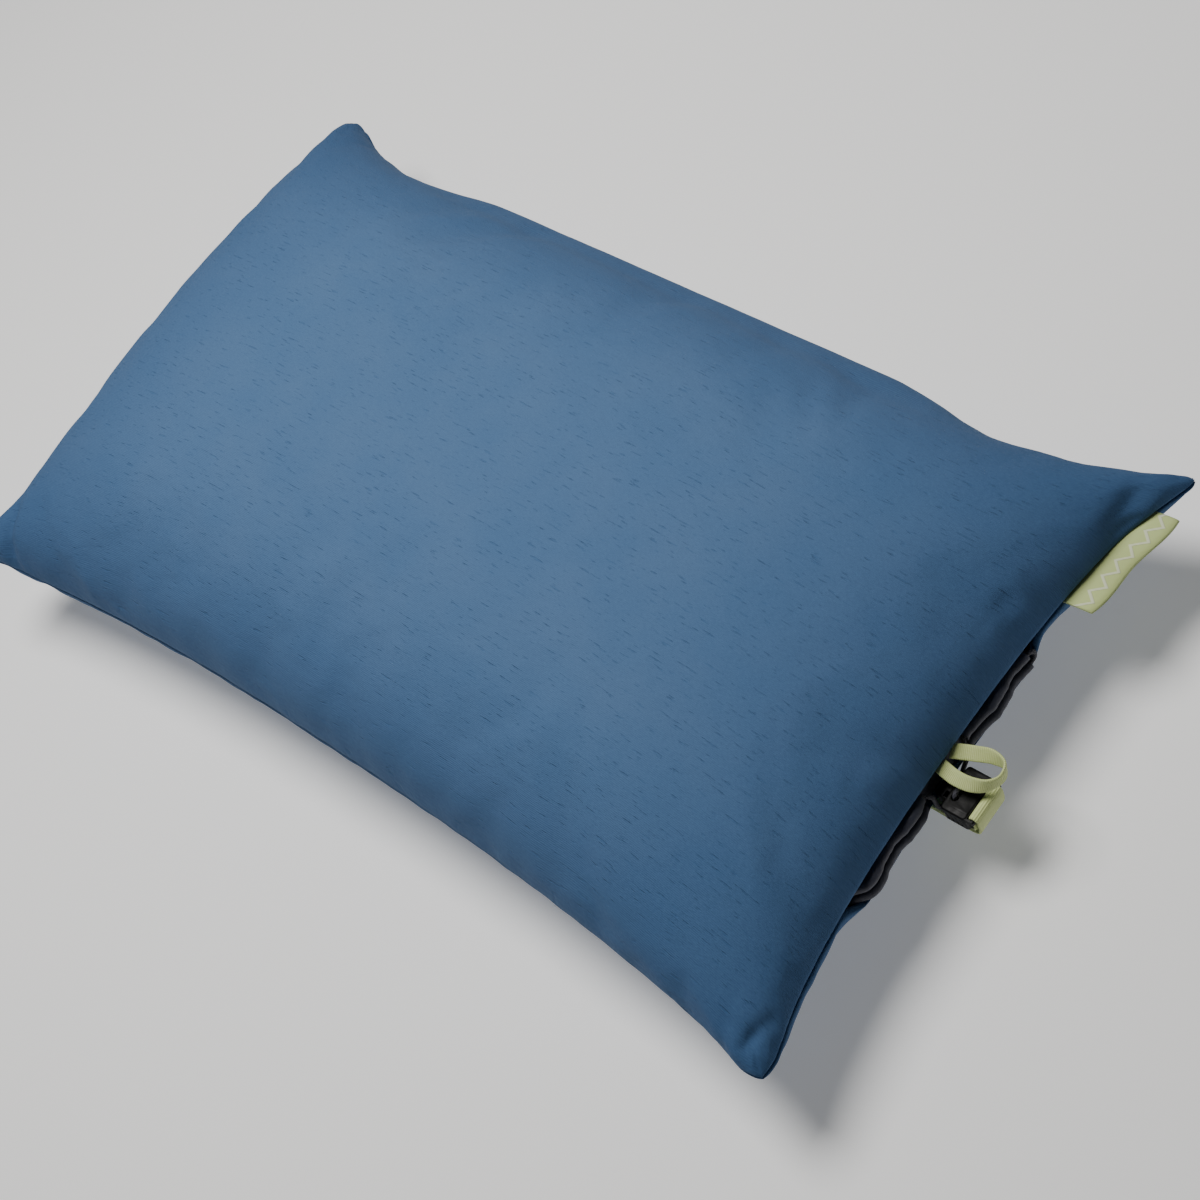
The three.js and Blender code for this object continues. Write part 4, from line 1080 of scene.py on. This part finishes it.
def make_lock_body():
    body = block("cord_lock_shell", (LOCK_X, LOCK_FRONT, LOCK_BOTTOM), (BLOCK_END, LOCK_REAR, LOCK_TOP))
    round_edges(body, lambda m, d: abs(d.z) > 0.9, 1.4)
    round_edges(body, lambda m, d: abs(d.z) < 0.3 and abs(abs(m.z - LOCK_Z) - LOCK_HALF_HEIGHT) < 0.1, 0.7, 3)
    bar = block("bar", (BLOCK_END - 1, LOCK_FRONT + 0.4, LOCK_TOP - 2.5),
                (BAR_END, LOCK_REAR - 0.4, LOCK_TOP - 0.3))
    round_edges(bar, lambda m, d: m.x > BAR_X and abs(d.x) < 0.3, 0.55, 3)
    join_to(body, bar)
    for way in (-1, 1):
        y = LOCK_Y + way * 6.4
        join_to(body, block("rib", (LOCK_X + 3.6, y - 0.45, LOCK_TOP - 0.4),
                            (BLOCK_END - 0.6, y + 0.45, LOCK_TOP + 0.25)))
    cut(body, block("strap_slot", (BLOCK_END, LOCK_Y - 7.8, LOCK_BOTTOM - 1),
                    (BAR_X, LOCK_Y + 7.8, LOCK_TOP + 1)))
    cut(body, block("pocket", (LOCK_X - 1, LOCK_Y - 5.3, LOCK_Z - 3.3),
                    (POCKET_END, LOCK_Y + 5.3, LOCK_Z + 3.3)))
    for way in (-1, 1):
        y = LOCK_Y + way * HOLE_OFF
        cut(body, rod("hole", 1.5, (HOLE_X, y, LOCK_Z - 9), (HOLE_X, y, LOCK_Z + 9)))
    for y in (LOCK_FRONT, LOCK_REAR):
        for k in range(4):
            x = LOCK_X + 2.4 + k * 1.9
            cut(body, rod("grip", 0.38, (x, y, LOCK_Z - 2.8), (x, y, LOCK_Z + 2.8), 10))
    return soften_edges(body, 0.16)


def make_plunger():
    button = block("cord_lock_button", (BUTTON_X, LOCK_Y - 5, LOCK_Z - 3),
                   (BUTTON_END, LOCK_Y + 5, LOCK_Z + 3))
    round_edges(button, lambda m, d: m.x < BUTTON_X + 0.1, 0.8, 3)
    for way in (-1, 1):
        y = LOCK_Y + way * HOLE_OFF
        cut(button, block("cord_slot", (HOLE_X - 4.6, y - 1.15, LOCK_Z - 9),
                          (HOLE_X + 1.3, y + 1.15, LOCK_Z + 9)))
    cut(button, rod("spring_bore", 1.85, (BUTTON_END - SPRING_BORE - 0.2, LOCK_Y, LOCK_Z),
                    (BUTTON_END + 0.1, LOCK_Y, LOCK_Z)))
    for k in (-1, 0, 1):
        cut(button, rod("thumb_groove", 0.35, (BUTTON_X, LOCK_Y - 3.6, LOCK_Z + k * 1.5),
                        (BUTTON_X, LOCK_Y + 3.6, LOCK_Z + k * 1.5), 10))
    return soften_edges(button, 0.14)


def make_spring():
    start, end = BUTTON_END - SPRING_BORE, POCKET_END - 0.3 - SPRING_WIRE
    t = np.linspace(0, 1, 150)
    turn = t * SPRING_TURNS * 2 * math.pi
    y, z = LOCK_Y + 1.4 * np.cos(turn), LOCK_Z + 1.4 * np.sin(turn)
    path = np.stack([start + (end - start) * t, y, z], axis=1)
    return tube("cord_lock_coil", path, 46.0, SPRING_WIRE, 8)


black = moulded("black_plastic", linear(8, 8, 9), 0.5, wear=0.12, shine=0.22)
steel = worn_metal("spring_steel", (0.52, 0.53, 0.55, 1), 0.3)
finish_piece(make_lock_body(), black, "pillow", ["cord_lock_body"])
finish_piece(make_plunger(), black, "lock_button", ["cord_lock_plunger"])
spring = finish_piece(make_spring(), steel, "pillow", ["cord_lock_spring"])
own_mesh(spring)


# ---- zip on the rear seam ----
ZIP_Y = 113.0
ZIP_HALF = 100
TOOTH_PITCH = 1.25
TAPE_WIDTH = 5.6
SLIDER_X = -92
# Half the slider's depth through the seam, and how far its pull's pin stands off it.
SLIDER_DEPTH = 2.4
PIN_LIFT = 0.9


def zip_tape_cloth():
    tape = Finish("zip_tape_weave", linear(38, 62, 88), 0.8, Sheen_Weight=0.15)
    place = tape.place()
    for turn in (0.75, -0.75):
        slanted = tape.add("Mapping", {"Vector": place, "Rotation": (0, turn, 0)}).outputs["Vector"]
        twill = tape.wave(slanted, 520.0)
        tape.raise_by(twill, 0.00012, 0.5)
        tape.tint(tape.spread(twill, 0.7, 1, 0, 0.25), linear(66, 94, 122))
    return tape.material


def make_zip_tape(name, way):
    """Woven strip, thicker at its outer selvedge, with a stitch line beside the coil."""
    x = np.linspace(-ZIP_HALF - 6, ZIP_HALF + 6, 213)
    face = [(0, 0.3), (0.8, 0.3), (1.6, 0.28), (3.0, 0.28), (4.6, 0.28), (5.1, 0.35), (TAPE_WIDTH, 0.3)]
    profile = face + [(out, -deep) for out, deep in face[::-1]]
    rings = np.zeros((len(x), len(profile), 3))
    ripple = 0.05 * np.sin(x * 0.9) + 0.04 * np.sin(x * 0.37)
    for k, (out, deep) in enumerate(profile):
        rings[:, k, 0] = x
        rings[:, k, 1] = ZIP_Y + deep + ripple * (out / TAPE_WIDTH)
        rings[:, k, 2] = SEAM_Z + way * (2.95 + out)
    piece = sweep(name, rings, 2 * ZIP_HALF + 12, [p[0] for p in profile])
    face_out(piece)
    return piece


def make_zip_coil(name, way):
    """Nylon coil: one hooked tooth, copied along the tape."""
    turn = np.linspace(-0.5, 1.5, 9) * math.pi
    path = np.stack([0.22 * np.sin(turn * 0.5 + 0.4), 0.82 * np.sin(turn), 1.0 * np.cos(turn)], axis=1)
    points, faces = [], []
    sides = 5
    tangent = unit(np.gradient(path, axis=0))
    up = unit(np.cross(tangent, [1.0, 0.1, 0.05]))
    side = np.cross(tangent, up)
    ring_turn = np.linspace(0, 2 * math.pi, sides, endpoint=False)
    tooth = path[:, None] + 0.24 * (np.cos(ring_turn)[None, :, None] * up[:, None]
                                    + np.sin(ring_turn)[None, :, None] * side[:, None])
    shift = 0.5 * TOOTH_PITCH if way < 0 else 0
    for k in range(round(2 * ZIP_HALF / TOOTH_PITCH) - 1):
        start = len(points)
        move = np.array([-ZIP_HALF + 0.7 + shift + k * TOOTH_PITCH, ZIP_Y, SEAM_Z + way * 1.62])
        points += list((tooth * np.array([1, 1, way]) + move).reshape(-1, 3))
        for i in range(len(path) - 1):
            for j in range(sides):
                n = (j + 1) % sides
                faces.append([start + i * sides + j, start + i * sides + n,
                              start + (i + 1) * sides + n, start + (i + 1) * sides + j])
        faces.append([start + j for j in range(sides)][::-1])
        faces.append([start + (len(path) - 1) * sides + j for j in range(sides)])
    piece = new_mesh(name, points, faces)
    face_out(piece)
    piece.data.polygons.foreach_set("use_smooth", [True] * len(piece.data.polygons))
    # The core cord that the coil is sewn over.
    core_z = SEAM_Z + way * 1.95
    core = rod(name + "_core", 0.42, (-ZIP_HALF, ZIP_Y, core_z), (ZIP_HALF, ZIP_Y, core_z), 8)
    only(piece)
    core.select_set(True)
    bpy.ops.object.join()
    return piece


def make_zip_stop(name, start):
    stop = block(name, (start, ZIP_Y - 1.4, SEAM_Z - 2.65), (start + 3.4, ZIP_Y + 1.4, SEAM_Z + 2.65))
    round_edges(stop, lambda m, d: abs(d.x) > 0.9, 0.5, 3)
    inset_panel(stop, lambda c, n: n.y > 0.9, 0.55, 0.3)
    return soften_edges(stop, 0.15)


def make_slider():
    low, high = SLIDER_X - 4.5, SLIDER_X + 4.5
    inner, face = ZIP_Y - SLIDER_DEPTH, ZIP_Y + SLIDER_DEPTH
    shell = block("zip_slider_body", (low, inner, SEAM_Z - 4), (high, face, SEAM_Z + 4))
    # A slider tapers towards its closed end.
    round_edges(shell, lambda m, d: abs(d.y) > 0.9 and m.x > SLIDER_X, 2.6, 5)
    round_edges(shell, lambda m, d: abs(d.y) > 0.9 and m.x < SLIDER_X - 3, 1.0, 3)
    cut(shell, block("tunnel", (low - 1, inner + 1, SEAM_Z - 2.95), (high + 1, face - 1, SEAM_Z + 2.95)))
    cut(shell, block("slit", (low - 1, ZIP_Y - 0.65, SEAM_Z - 6), (high + 1, ZIP_Y + 0.65, SEAM_Z + 6)))
    join_to(shell, block("wedge", (low, inner + 0.2, SEAM_Z - 0.35), (low + 2.6, face - 0.2, SEAM_Z + 0.35)))
    bail = block("bail", (SLIDER_X - 3, face - 0.3, SEAM_Z - 0.8), (SLIDER_X + 3, face + 2.7, SEAM_Z + 0.8))
    round_edges(bail, lambda m, d: abs(d.z) > 0.9 and m.y > face + 1, 1.3)
    cut(bail, block("eye", (SLIDER_X - 1.9, face, SEAM_Z - 2), (SLIDER_X + 1.9, face + 1.8, SEAM_Z + 2)))
    join_to(shell, bail)
    return soften_edges(shell, 0.14)


def make_zip_pull():
    y = ZIP_Y + SLIDER_DEPTH + PIN_LIFT
    plate = block("zip_pull_tab", (SLIDER_X, y - 0.5, SEAM_Z - 2.7), (SLIDER_X + 18, y + 0.5, SEAM_Z + 2.7))
    round_edges(plate, lambda m, d: abs(d.y) > 0.9 and m.x > SLIDER_X + 9, 2.2, 6)
    inset_panel(plate, lambda c, n: abs(n.y) > 0.9, 0.7, 0.18)
    join_to(plate, rod("pin", 0.5, (SLIDER_X, y, SEAM_Z - 2.7), (SLIDER_X, y, SEAM_Z + 2.7), 16))
    cut(plate, block("window", (SLIDER_X + 0.5, y - 2, SEAM_Z - 1.3), (SLIDER_X + 6, y + 2, SEAM_Z + 1.3)))
    cut(plate, rod("cord_eye", 1.0, (SLIDER_X + 15, y - 2, SEAM_Z), (SLIDER_X + 15, y + 2, SEAM_Z), 20))
    return soften_edges(plate, 0.12)


tape_weave = zip_tape_cloth()
coil_nylon = moulded("coil_nylon", linear(44, 68, 94), 0.36)
zip_metal = worn_metal("zip_metal", (0.2, 0.21, 0.23, 1), 0.36)
for name, way in (("upper", 1), ("lower", -1)):
    tape = make_zip_tape(f"zip_woven_tape_{name}", way)
    coil = make_zip_coil(f"zip_teeth_{name}", way)
    finish_piece(tape, tape_weave, "pillow", [f"zip_tape_{name}"])
    finish_piece(coil, coil_nylon, "pillow", [f"zip_coil_{name}"])
for name, start in (("closed", -ZIP_HALF - 4), ("open", ZIP_HALF + 0.3)):
    stop = make_zip_stop(f"zip_{name}_stop", start)
    finish_piece(stop, zip_metal, "pillow", [f"zip_stop_{name}_end"])
finish_piece(make_slider(), zip_metal, "slider", ["zip_slider"])
finish_piece(make_zip_pull(), zip_metal, "slider_pull", ["zip_pull"])


# ---- air valve on the belly ----
def to_valve(piece):
    """Moves a piece drawn about the valve's axis to its place on the belly."""
    points = points_of(piece)
    set_points(piece, VALVE_PLACE + points[:, :1] * VALVE_RIGHT + points[:, 1:2] * VALVE_REACH
               + points[:, 2:] * VALVE_OUT)
    return piece


def turned(name, outline, steps=72):
    """A ring or disc: its outline in radius and height, spun about the valve's axis."""
    points = [(r, 0, h) for r, h in outline]
    edges = [(i, (i + 1) % len(points)) for i in range(len(points))]
    mesh = bpy.data.meshes.new(name)
    mesh.from_pydata([tuple(c * MM for c in p) for p in points], edges, [])
    piece = bpy.data.objects.new(name, mesh)
    bpy.context.scene.collection.objects.link(piece)
    only(piece)
    bpy.ops.object.mode_set(mode="EDIT")
    bpy.ops.mesh.select_all(action="SELECT")
    bpy.ops.mesh.spin(steps=steps, angle=2 * math.pi, center=(0, 0, 0), axis=(0, 0, 1))
    bpy.ops.mesh.select_all(action="SELECT")
    bpy.ops.mesh.remove_doubles(threshold=0.00001)
    bpy.ops.mesh.normals_make_consistent(inside=False)
    bpy.ops.object.mode_set(mode="OBJECT")
    return piece


def spaced_round(count, radius):
    """Evenly spaced places round the valve's axis: the direction outwards, and the place itself."""
    for k in range(count):
        turn = k * 2 * math.pi / count
        yield (math.cos(turn), math.sin(turn)), (radius * math.cos(turn), radius * math.sin(turn))


def make_valve_flange():
    deep = -10.5
    flange = turned("valve_flange_ring", [
        (7.5, deep), (16.6, deep), (17, deep + 0.3), (16.9, deep + 0.9), (9.6, deep + 1.3), (9.1, deep + 1.8),
        (9, -1.6), (9.0, -0.2), (8.8, 1.0), (8.4, 1.2), (7.8, 1.2), (7.5, 0.9)])
    for (out_x, out_y), (x, y) in spaced_round(24, 10.6):
        cut(flange, rod("weld_mark", 0.3, (x, y, deep + 1.15), (x + 5 * out_x, y + 5 * out_y, deep + 1.0), 6))
    return to_valve(soften_edges(flange, 0.12))


def make_valve_plug():
    plug = turned("valve_plug_body", [
        (3.5, -2.2), (6.4, -2.2), (6.6, -1.9), (6.75, -1.0), (7.15, -0.6), (6.85, -0.2), (7.0, 0.4),
        (7.2, 1.5), (9.7, 1.5), (10, 1.8), (10, 2.4), (9.7, 2.7), (7.6, 2.7), (7.3, 2.45), (4.6, 2.45),
        (4.3, 2.7), (3.5, 2.7)])
    for _, (x, y) in spaced_round(20, 10.05):
        cut(plug, rod("grip", 0.32, (x, y, 1.3), (x, y, 3.0), 8))
    tab = block("tab", (-2.6, -13.2, 1.7), (2.6, -9.2, 2.5))
    round_edges(tab, lambda m, d: abs(d.z) > 0.9 and m.y < -12, 1.5, 5)
    join_to(plug, tab)
    return to_valve(soften_edges(plug, 0.12))


def make_valve_cap():
    cap = turned("valve_cap_lid", [
        (0, 0.4), (2.7, 0.4), (2.9, 0.6), (3.05, 1.6), (3.2, 3), (6.3, 3), (6.5, 3.2), (6.5, 3.9), (5.9, 4.3),
        (4.6, 4.3), (4.3, 4.05), (2.2, 3.95), (0, 3.95)])
    tab = block("tab", (-1.7, 5.6, 3.15), (1.7, 8.3, 3.85))
    round_edges(tab, lambda m, d: abs(d.z) > 0.9 and m.y > 8, 1.1, 5)
    join_to(cap, tab)
    return to_valve(soften_edges(cap, 0.12))


def make_diaphragm():
    disc = turned("valve_flap_disc", [(0, -3.3), (4.8, -3.3), (5, -3.1), (5, -2.7), (4.8, -2.5), (3.2, -2.5),
                                      (2.9, -2.62), (0, -2.62)])
    return to_valve(soften_edges(disc, 0.08))


def clear_silicone():
    rubber = Finish("clear_silicone", linear(214, 218, 216), 0.42, Subsurface_Weight=0.35,
                    Subsurface_Radius=(0.003, 0.003, 0.003))
    place = rubber.place()
    rubber.mottle(place, 420, 0.4, 0.7, 0.3, linear(190, 196, 198))
    rubber.raise_by(rubber.noise(place, 900, 2), 0.00004, 0.5)
    return rubber.material


def open_valve_hole(belly):
    """Cuts the belly's hole round the valve."""
    inside, outside = (tuple(VALVE_PLACE + VALVE_OUT * height) for height in (-9, 9))
    cut(belly, rod("hole", 12.4, inside, outside, 96))
    shade_smooth(belly)


def make_hole_binding():
    """Tape round the hole's edge, with a ring of stitches."""
    ring = turned("valve_hole_binding", [
        (11.8, -1.3), (12.0, -1.75), (12.6, -1.9), (14.6, -1.9), (14.9, -1.5), (14.9, -1.1), (14.2, 0.3),
        (13.2, 0.5), (12.3, 0.4), (11.8, -0.1)], 120)
    for (out_x, out_y), (x, y) in spaced_round(48, 13.9):
        dx, dy = -0.55 * out_y, 0.55 * out_x
        join_to(ring, rod("stitch", 0.22, (x - dx, y - dy, 0.38), (x + dx, y + dy, 0.38), 6))
    return to_valve(ring)


def binding_tape():
    tape = Finish("binding_tape", linear(52, 82, 116), 0.8)
    place = tape.place()
    for direction in ("X", "Y"):
        tape.raise_by(tape.wave(place, 190.0, direction, 0.2), 0.00012, 0.5)
    tape.mottle(place, 180, 0.35, 0.7, 0.4, linear(66, 98, 134))
    return tape.material


open_valve_hole(cover_belly)
finish_piece(make_hole_binding(), binding_tape(), "pillow", [])
valve_grey = moulded("valve_plastic", linear(74, 80, 88), 0.44, 1600)
finish_piece(make_valve_flange(), valve_grey, "pillow", ["valve_flange"])
finish_piece(make_valve_plug(), valve_grey, "deflate_plug", ["valve_plug"])
finish_piece(make_diaphragm(), clear_silicone(), "deflate_plug", ["valve_diaphragm"])
finish_piece(make_valve_cap(), valve_grey, "inflate_cap", ["valve_cap"])


# ---- inside the cover: foam, air cell, baffles and the folded stuff sack ----
# Each layer by how far it lies in from the cover, and how high it rises from the seam, or drops with a minus.
FOAM_INSET, FOAM_TOP, FOAM_UNDERSIDE = 6, 53.4, 38.2
CELL_INSET, CELL_TOP, CELL_BELLY, CELL_FLOOR = 10.5, 36.6, -43.4, 5.8
FILM = 0.8
BAFFLE_ROWS_Y = (-66, -22, 22, 66)


def layer_grid(span_u, span_v, columns, rows):
    """A layer's u and v, with closer rows towards its edges."""
    def spread(span, count):
        low, high = span
        return (low + high + (high - low) * np.sin(np.linspace(-1, 1, count + 1) * math.pi / 2)) / 2
    return np.meshgrid(spread(span_u, columns), spread(span_v, rows), indexing="ij")


def layer_surface(u, v, inset, rise, floor=0.0):
    x, y = plan_place(u, v, inset)
    side = np.sign(rise) * 0.15
    return np.stack([x, y, np.maximum(floor, SEAM_Z + side + rise * swell(u, v))], axis=-1)


def layer_body(name, upper, lower):
    """A closed body between two grids of points."""
    count = upper[..., 0].size
    numbers = np.arange(count).reshape(upper.shape[:2])
    faces = [list(q) for q in grid_faces(numbers)] + [list(q) for q in grid_faces(numbers + count, flip=True)]
    rim = np.concatenate([numbers[:-1, 0], numbers[-1, :-1], numbers[:0:-1, -1], numbers[0, :0:-1]])
    for a, b in zip(rim, np.roll(rim, -1)):
        faces.append([a, a + count, b + count, b])
    piece = new_mesh(name, np.concatenate([upper.reshape(-1, 3), lower.reshape(-1, 3)]), faces)
    face_out(piece)
    only(piece)
    bpy.ops.object.shade_smooth_by_angle(angle=math.radians(50))
    return piece


def soft_foam():
    foam = Finish("open_cell_foam", linear(232, 226, 206), 0.95)
    place = foam.place()
    pores = foam.add("TexVoronoi", {"Vector": place, "Scale": 620.0}).outputs["Distance"]
    foam.tint(foam.spread(pores, 0.1, 0.5, 0.5, 0), linear(178, 166, 138))
    foam.mottle(place, 25, 0.4, 0.7, 0.3, linear(222, 212, 180))
    foam.raise_by(pores, 0.0006, 0.7)
    return foam.material


def cell_film():
    film = Finish("cell_film", linear(134, 146, 160), 0.38, Coat_Weight=0.2)
    place = film.place()
    for direction in ("X", "Y"):
        thread = film.wave(place, 90.0, direction, 0.1)
        film.raise_by(film.spread(thread, 0.88, 0.98), 0.0001, 0.5)
    film.mottle(place, 40, 0.4, 0.7, 0.3, linear(110, 122, 138))
    film.roughen(film.spread(film.noise(place, 260, 3), 0.3, 0.7, 0.3, 0.5))
    film.raise_by(film.noise(place, 70, 3), 0.0006, 0.4)
    return film.material


def quilting(x, y, depth, half):
    """Depth of the welded lines over the baffles."""
    ends = 1 - smooth(np.abs(x), 138, 150)
    return sum(depth * np.exp(-((y - row) / half) ** 2) for row in BAFFLE_ROWS_Y) * ends


def make_foam():
    u, v = layer_grid((-0.95, 0.95), (-0.95, 0.95), 80, 56)
    upper = layer_surface(u, v, FOAM_INSET, FOAM_TOP)
    lower = layer_surface(u, v, FOAM_INSET, FOAM_UNDERSIDE)
    x, y = upper[..., 0], upper[..., 1]
    upper[..., 2] -= 0.35 * (1 + np.sin(x * 0.11 + np.sin(y * 0.07)) * np.sin(y * 0.13))
    # Rows of cored holes make the topper softer: shallow dimples from below.
    dimple = np.cos(x * 2 * math.pi / 22) * np.cos(y * 2 * math.pi / 22)
    lower[..., 2] += 1.6 * smooth(dimple, 0.45, 0.9)
    return layer_body("foam_topper_pad", upper, lower)


def make_cell_skin(name, rise, way, floor):
    """One wall of the air cell, drawn in over the baffles."""
    u, v = layer_grid((-1, 1), (-1, 1), 96, 72)
    outer = layer_surface(u, v, CELL_INSET, rise, floor)
    inner = layer_surface(u, v, CELL_INSET + FILM, rise - FILM * way, floor + (FILM if way < 0 else 0))
    for grid in (outer, inner):
        near = np.clip(swell(u, v) * 2, 0, 1)
        lines = quilting(grid[..., 0], grid[..., 1], 1.1, 4.5) * near
        grid[..., 2] -= way * lines * (grid[..., 2] > floor + 1.2)
    return layer_body(name, outer, inner) if way > 0 else layer_body(name, inner, outer)


def height_at(x, y, inset, rise, floor=0.0):
    """Height of a layer over a place in plan, by closing in on the layer's own u and v."""
    u, v = x / (LENGTH / 2), y / (WIDTH / 2)
    for _ in range(10):
        end = np.where(u > 0, PULL_LABEL_END, PULL_PLAIN_END) * bow(v)
        side = np.where(v > 0, PULL_ZIP_SIDE * zip_bow(u), PULL_FRONT_SIDE * bow(u))
        u, v = x / (LENGTH / 2 - inset - end), y / (WIDTH / 2 - inset - side)
    return np.maximum(floor, SEAM_Z + np.sign(rise) * 0.15 + rise * swell(u, v))


def make_baffle(name, row):
    """A thin film web from the cell's lower wall up to its upper one, with a slight wave along it."""
    x = np.linspace(-144, 144, 145)
    t = np.linspace(0, 1, 17)
    grid_x, grid_t = np.meshgrid(x, t, indexing="ij")
    grid_y = np.full(grid_x.shape, float(row))
    top = height_at(grid_x, grid_y, CELL_INSET + FILM, CELL_TOP - FILM) - 2.9
    foot = height_at(grid_x, grid_y, CELL_INSET + FILM, CELL_BELLY + FILM, CELL_FLOOR + FILM) + 2.6
    z = foot + (top - foot) * grid_t
    wave = 0.5 * np.sin(grid_x * 0.13 + row) * np.sin(grid_t * math.pi)
    front = np.stack([grid_x, row - 0.3 + wave, z], axis=-1)
    rear = np.stack([grid_x, row + 0.3 + wave, z], axis=-1)
    return layer_body(name, front, rear)


def make_stuff_sack():
    """Thin pocket, folded flat under the air cell, with its throat up behind the lips of the mouth."""
    u, v = layer_grid((0.42, 0.86), (-0.6, 0.48), 44, 44)
    upper = layer_surface(u, v, 9, -44.6, 5)
    lower = layer_surface(u, v, 5, -46.4, 2.6)
    folds = 0.35 * np.sin(upper[..., 1] * 0.35 + 1.3 * np.sin(upper[..., 0] * 0.09))
    upper[..., 2] += np.minimum(folds, 0.15) - 0.2
    pocket = layer_body("stuff_sack_cloth", upper, lower)
    y = np.linspace(-88, 48, 137)
    profile = [(-1.0, -1.6), (-2.4, -3.4), (-3.2, -5.9), (-2.6, -8.4), (-1.4, -10.6), (-3.4, -13.4),
               (-4.0, -13.1), (-2.3, -10.5), (-3.3, -8.3), (-3.9, -5.9), (-3.0, -3.2), (-1.8, -1.3)]
    rings = np.zeros((len(y), len(profile), 3))
    pleat = 0.35 * np.sin(y * 0.9 + np.sin(y * 0.2)) + 0.2 * np.sin(y * 1.7)
    for k, (out, up) in enumerate(profile):
        mid = math.sin(math.pi * min(1.0, abs(up) / 12))
        rings[:, k, 0] = seam_x(y) - mouth_inset(y) + out - 1 + pleat * mid
        rings[:, k, 1] = y
        rings[:, k, 2] = SEAM_Z + up
    throat = sweep("throat", rings, 136, [up for out, up in profile])
    face_out(throat)
    only(pocket)
    throat.select_set(True)
    bpy.ops.object.join()
    return pocket


foam_look, film_look = soft_foam(), cell_film()
foam = finish_piece(make_foam(), foam_look, "pillow", ["foam_topper"])
cell_top = make_cell_skin("air_cell_upper_film", CELL_TOP, 1, 0.0)
cell_belly = make_cell_skin("air_cell_lower_film", CELL_BELLY, -1, CELL_FLOOR)
finish_piece(cell_top, film_look, "pillow", ["air_cell_top_skin"])
finish_piece(cell_belly, film_look, "pillow", ["air_cell_bottom_skin"])
for number, row in enumerate(BAFFLE_ROWS_Y, 1):
    web = make_baffle(f"baffle_web_{number}", row)
    finish_piece(web, film_look, "pillow", [f"baffle_{number}"])
sack = finish_piece(make_stuff_sack(), nylon, "pillow", ["stuff_sack"])
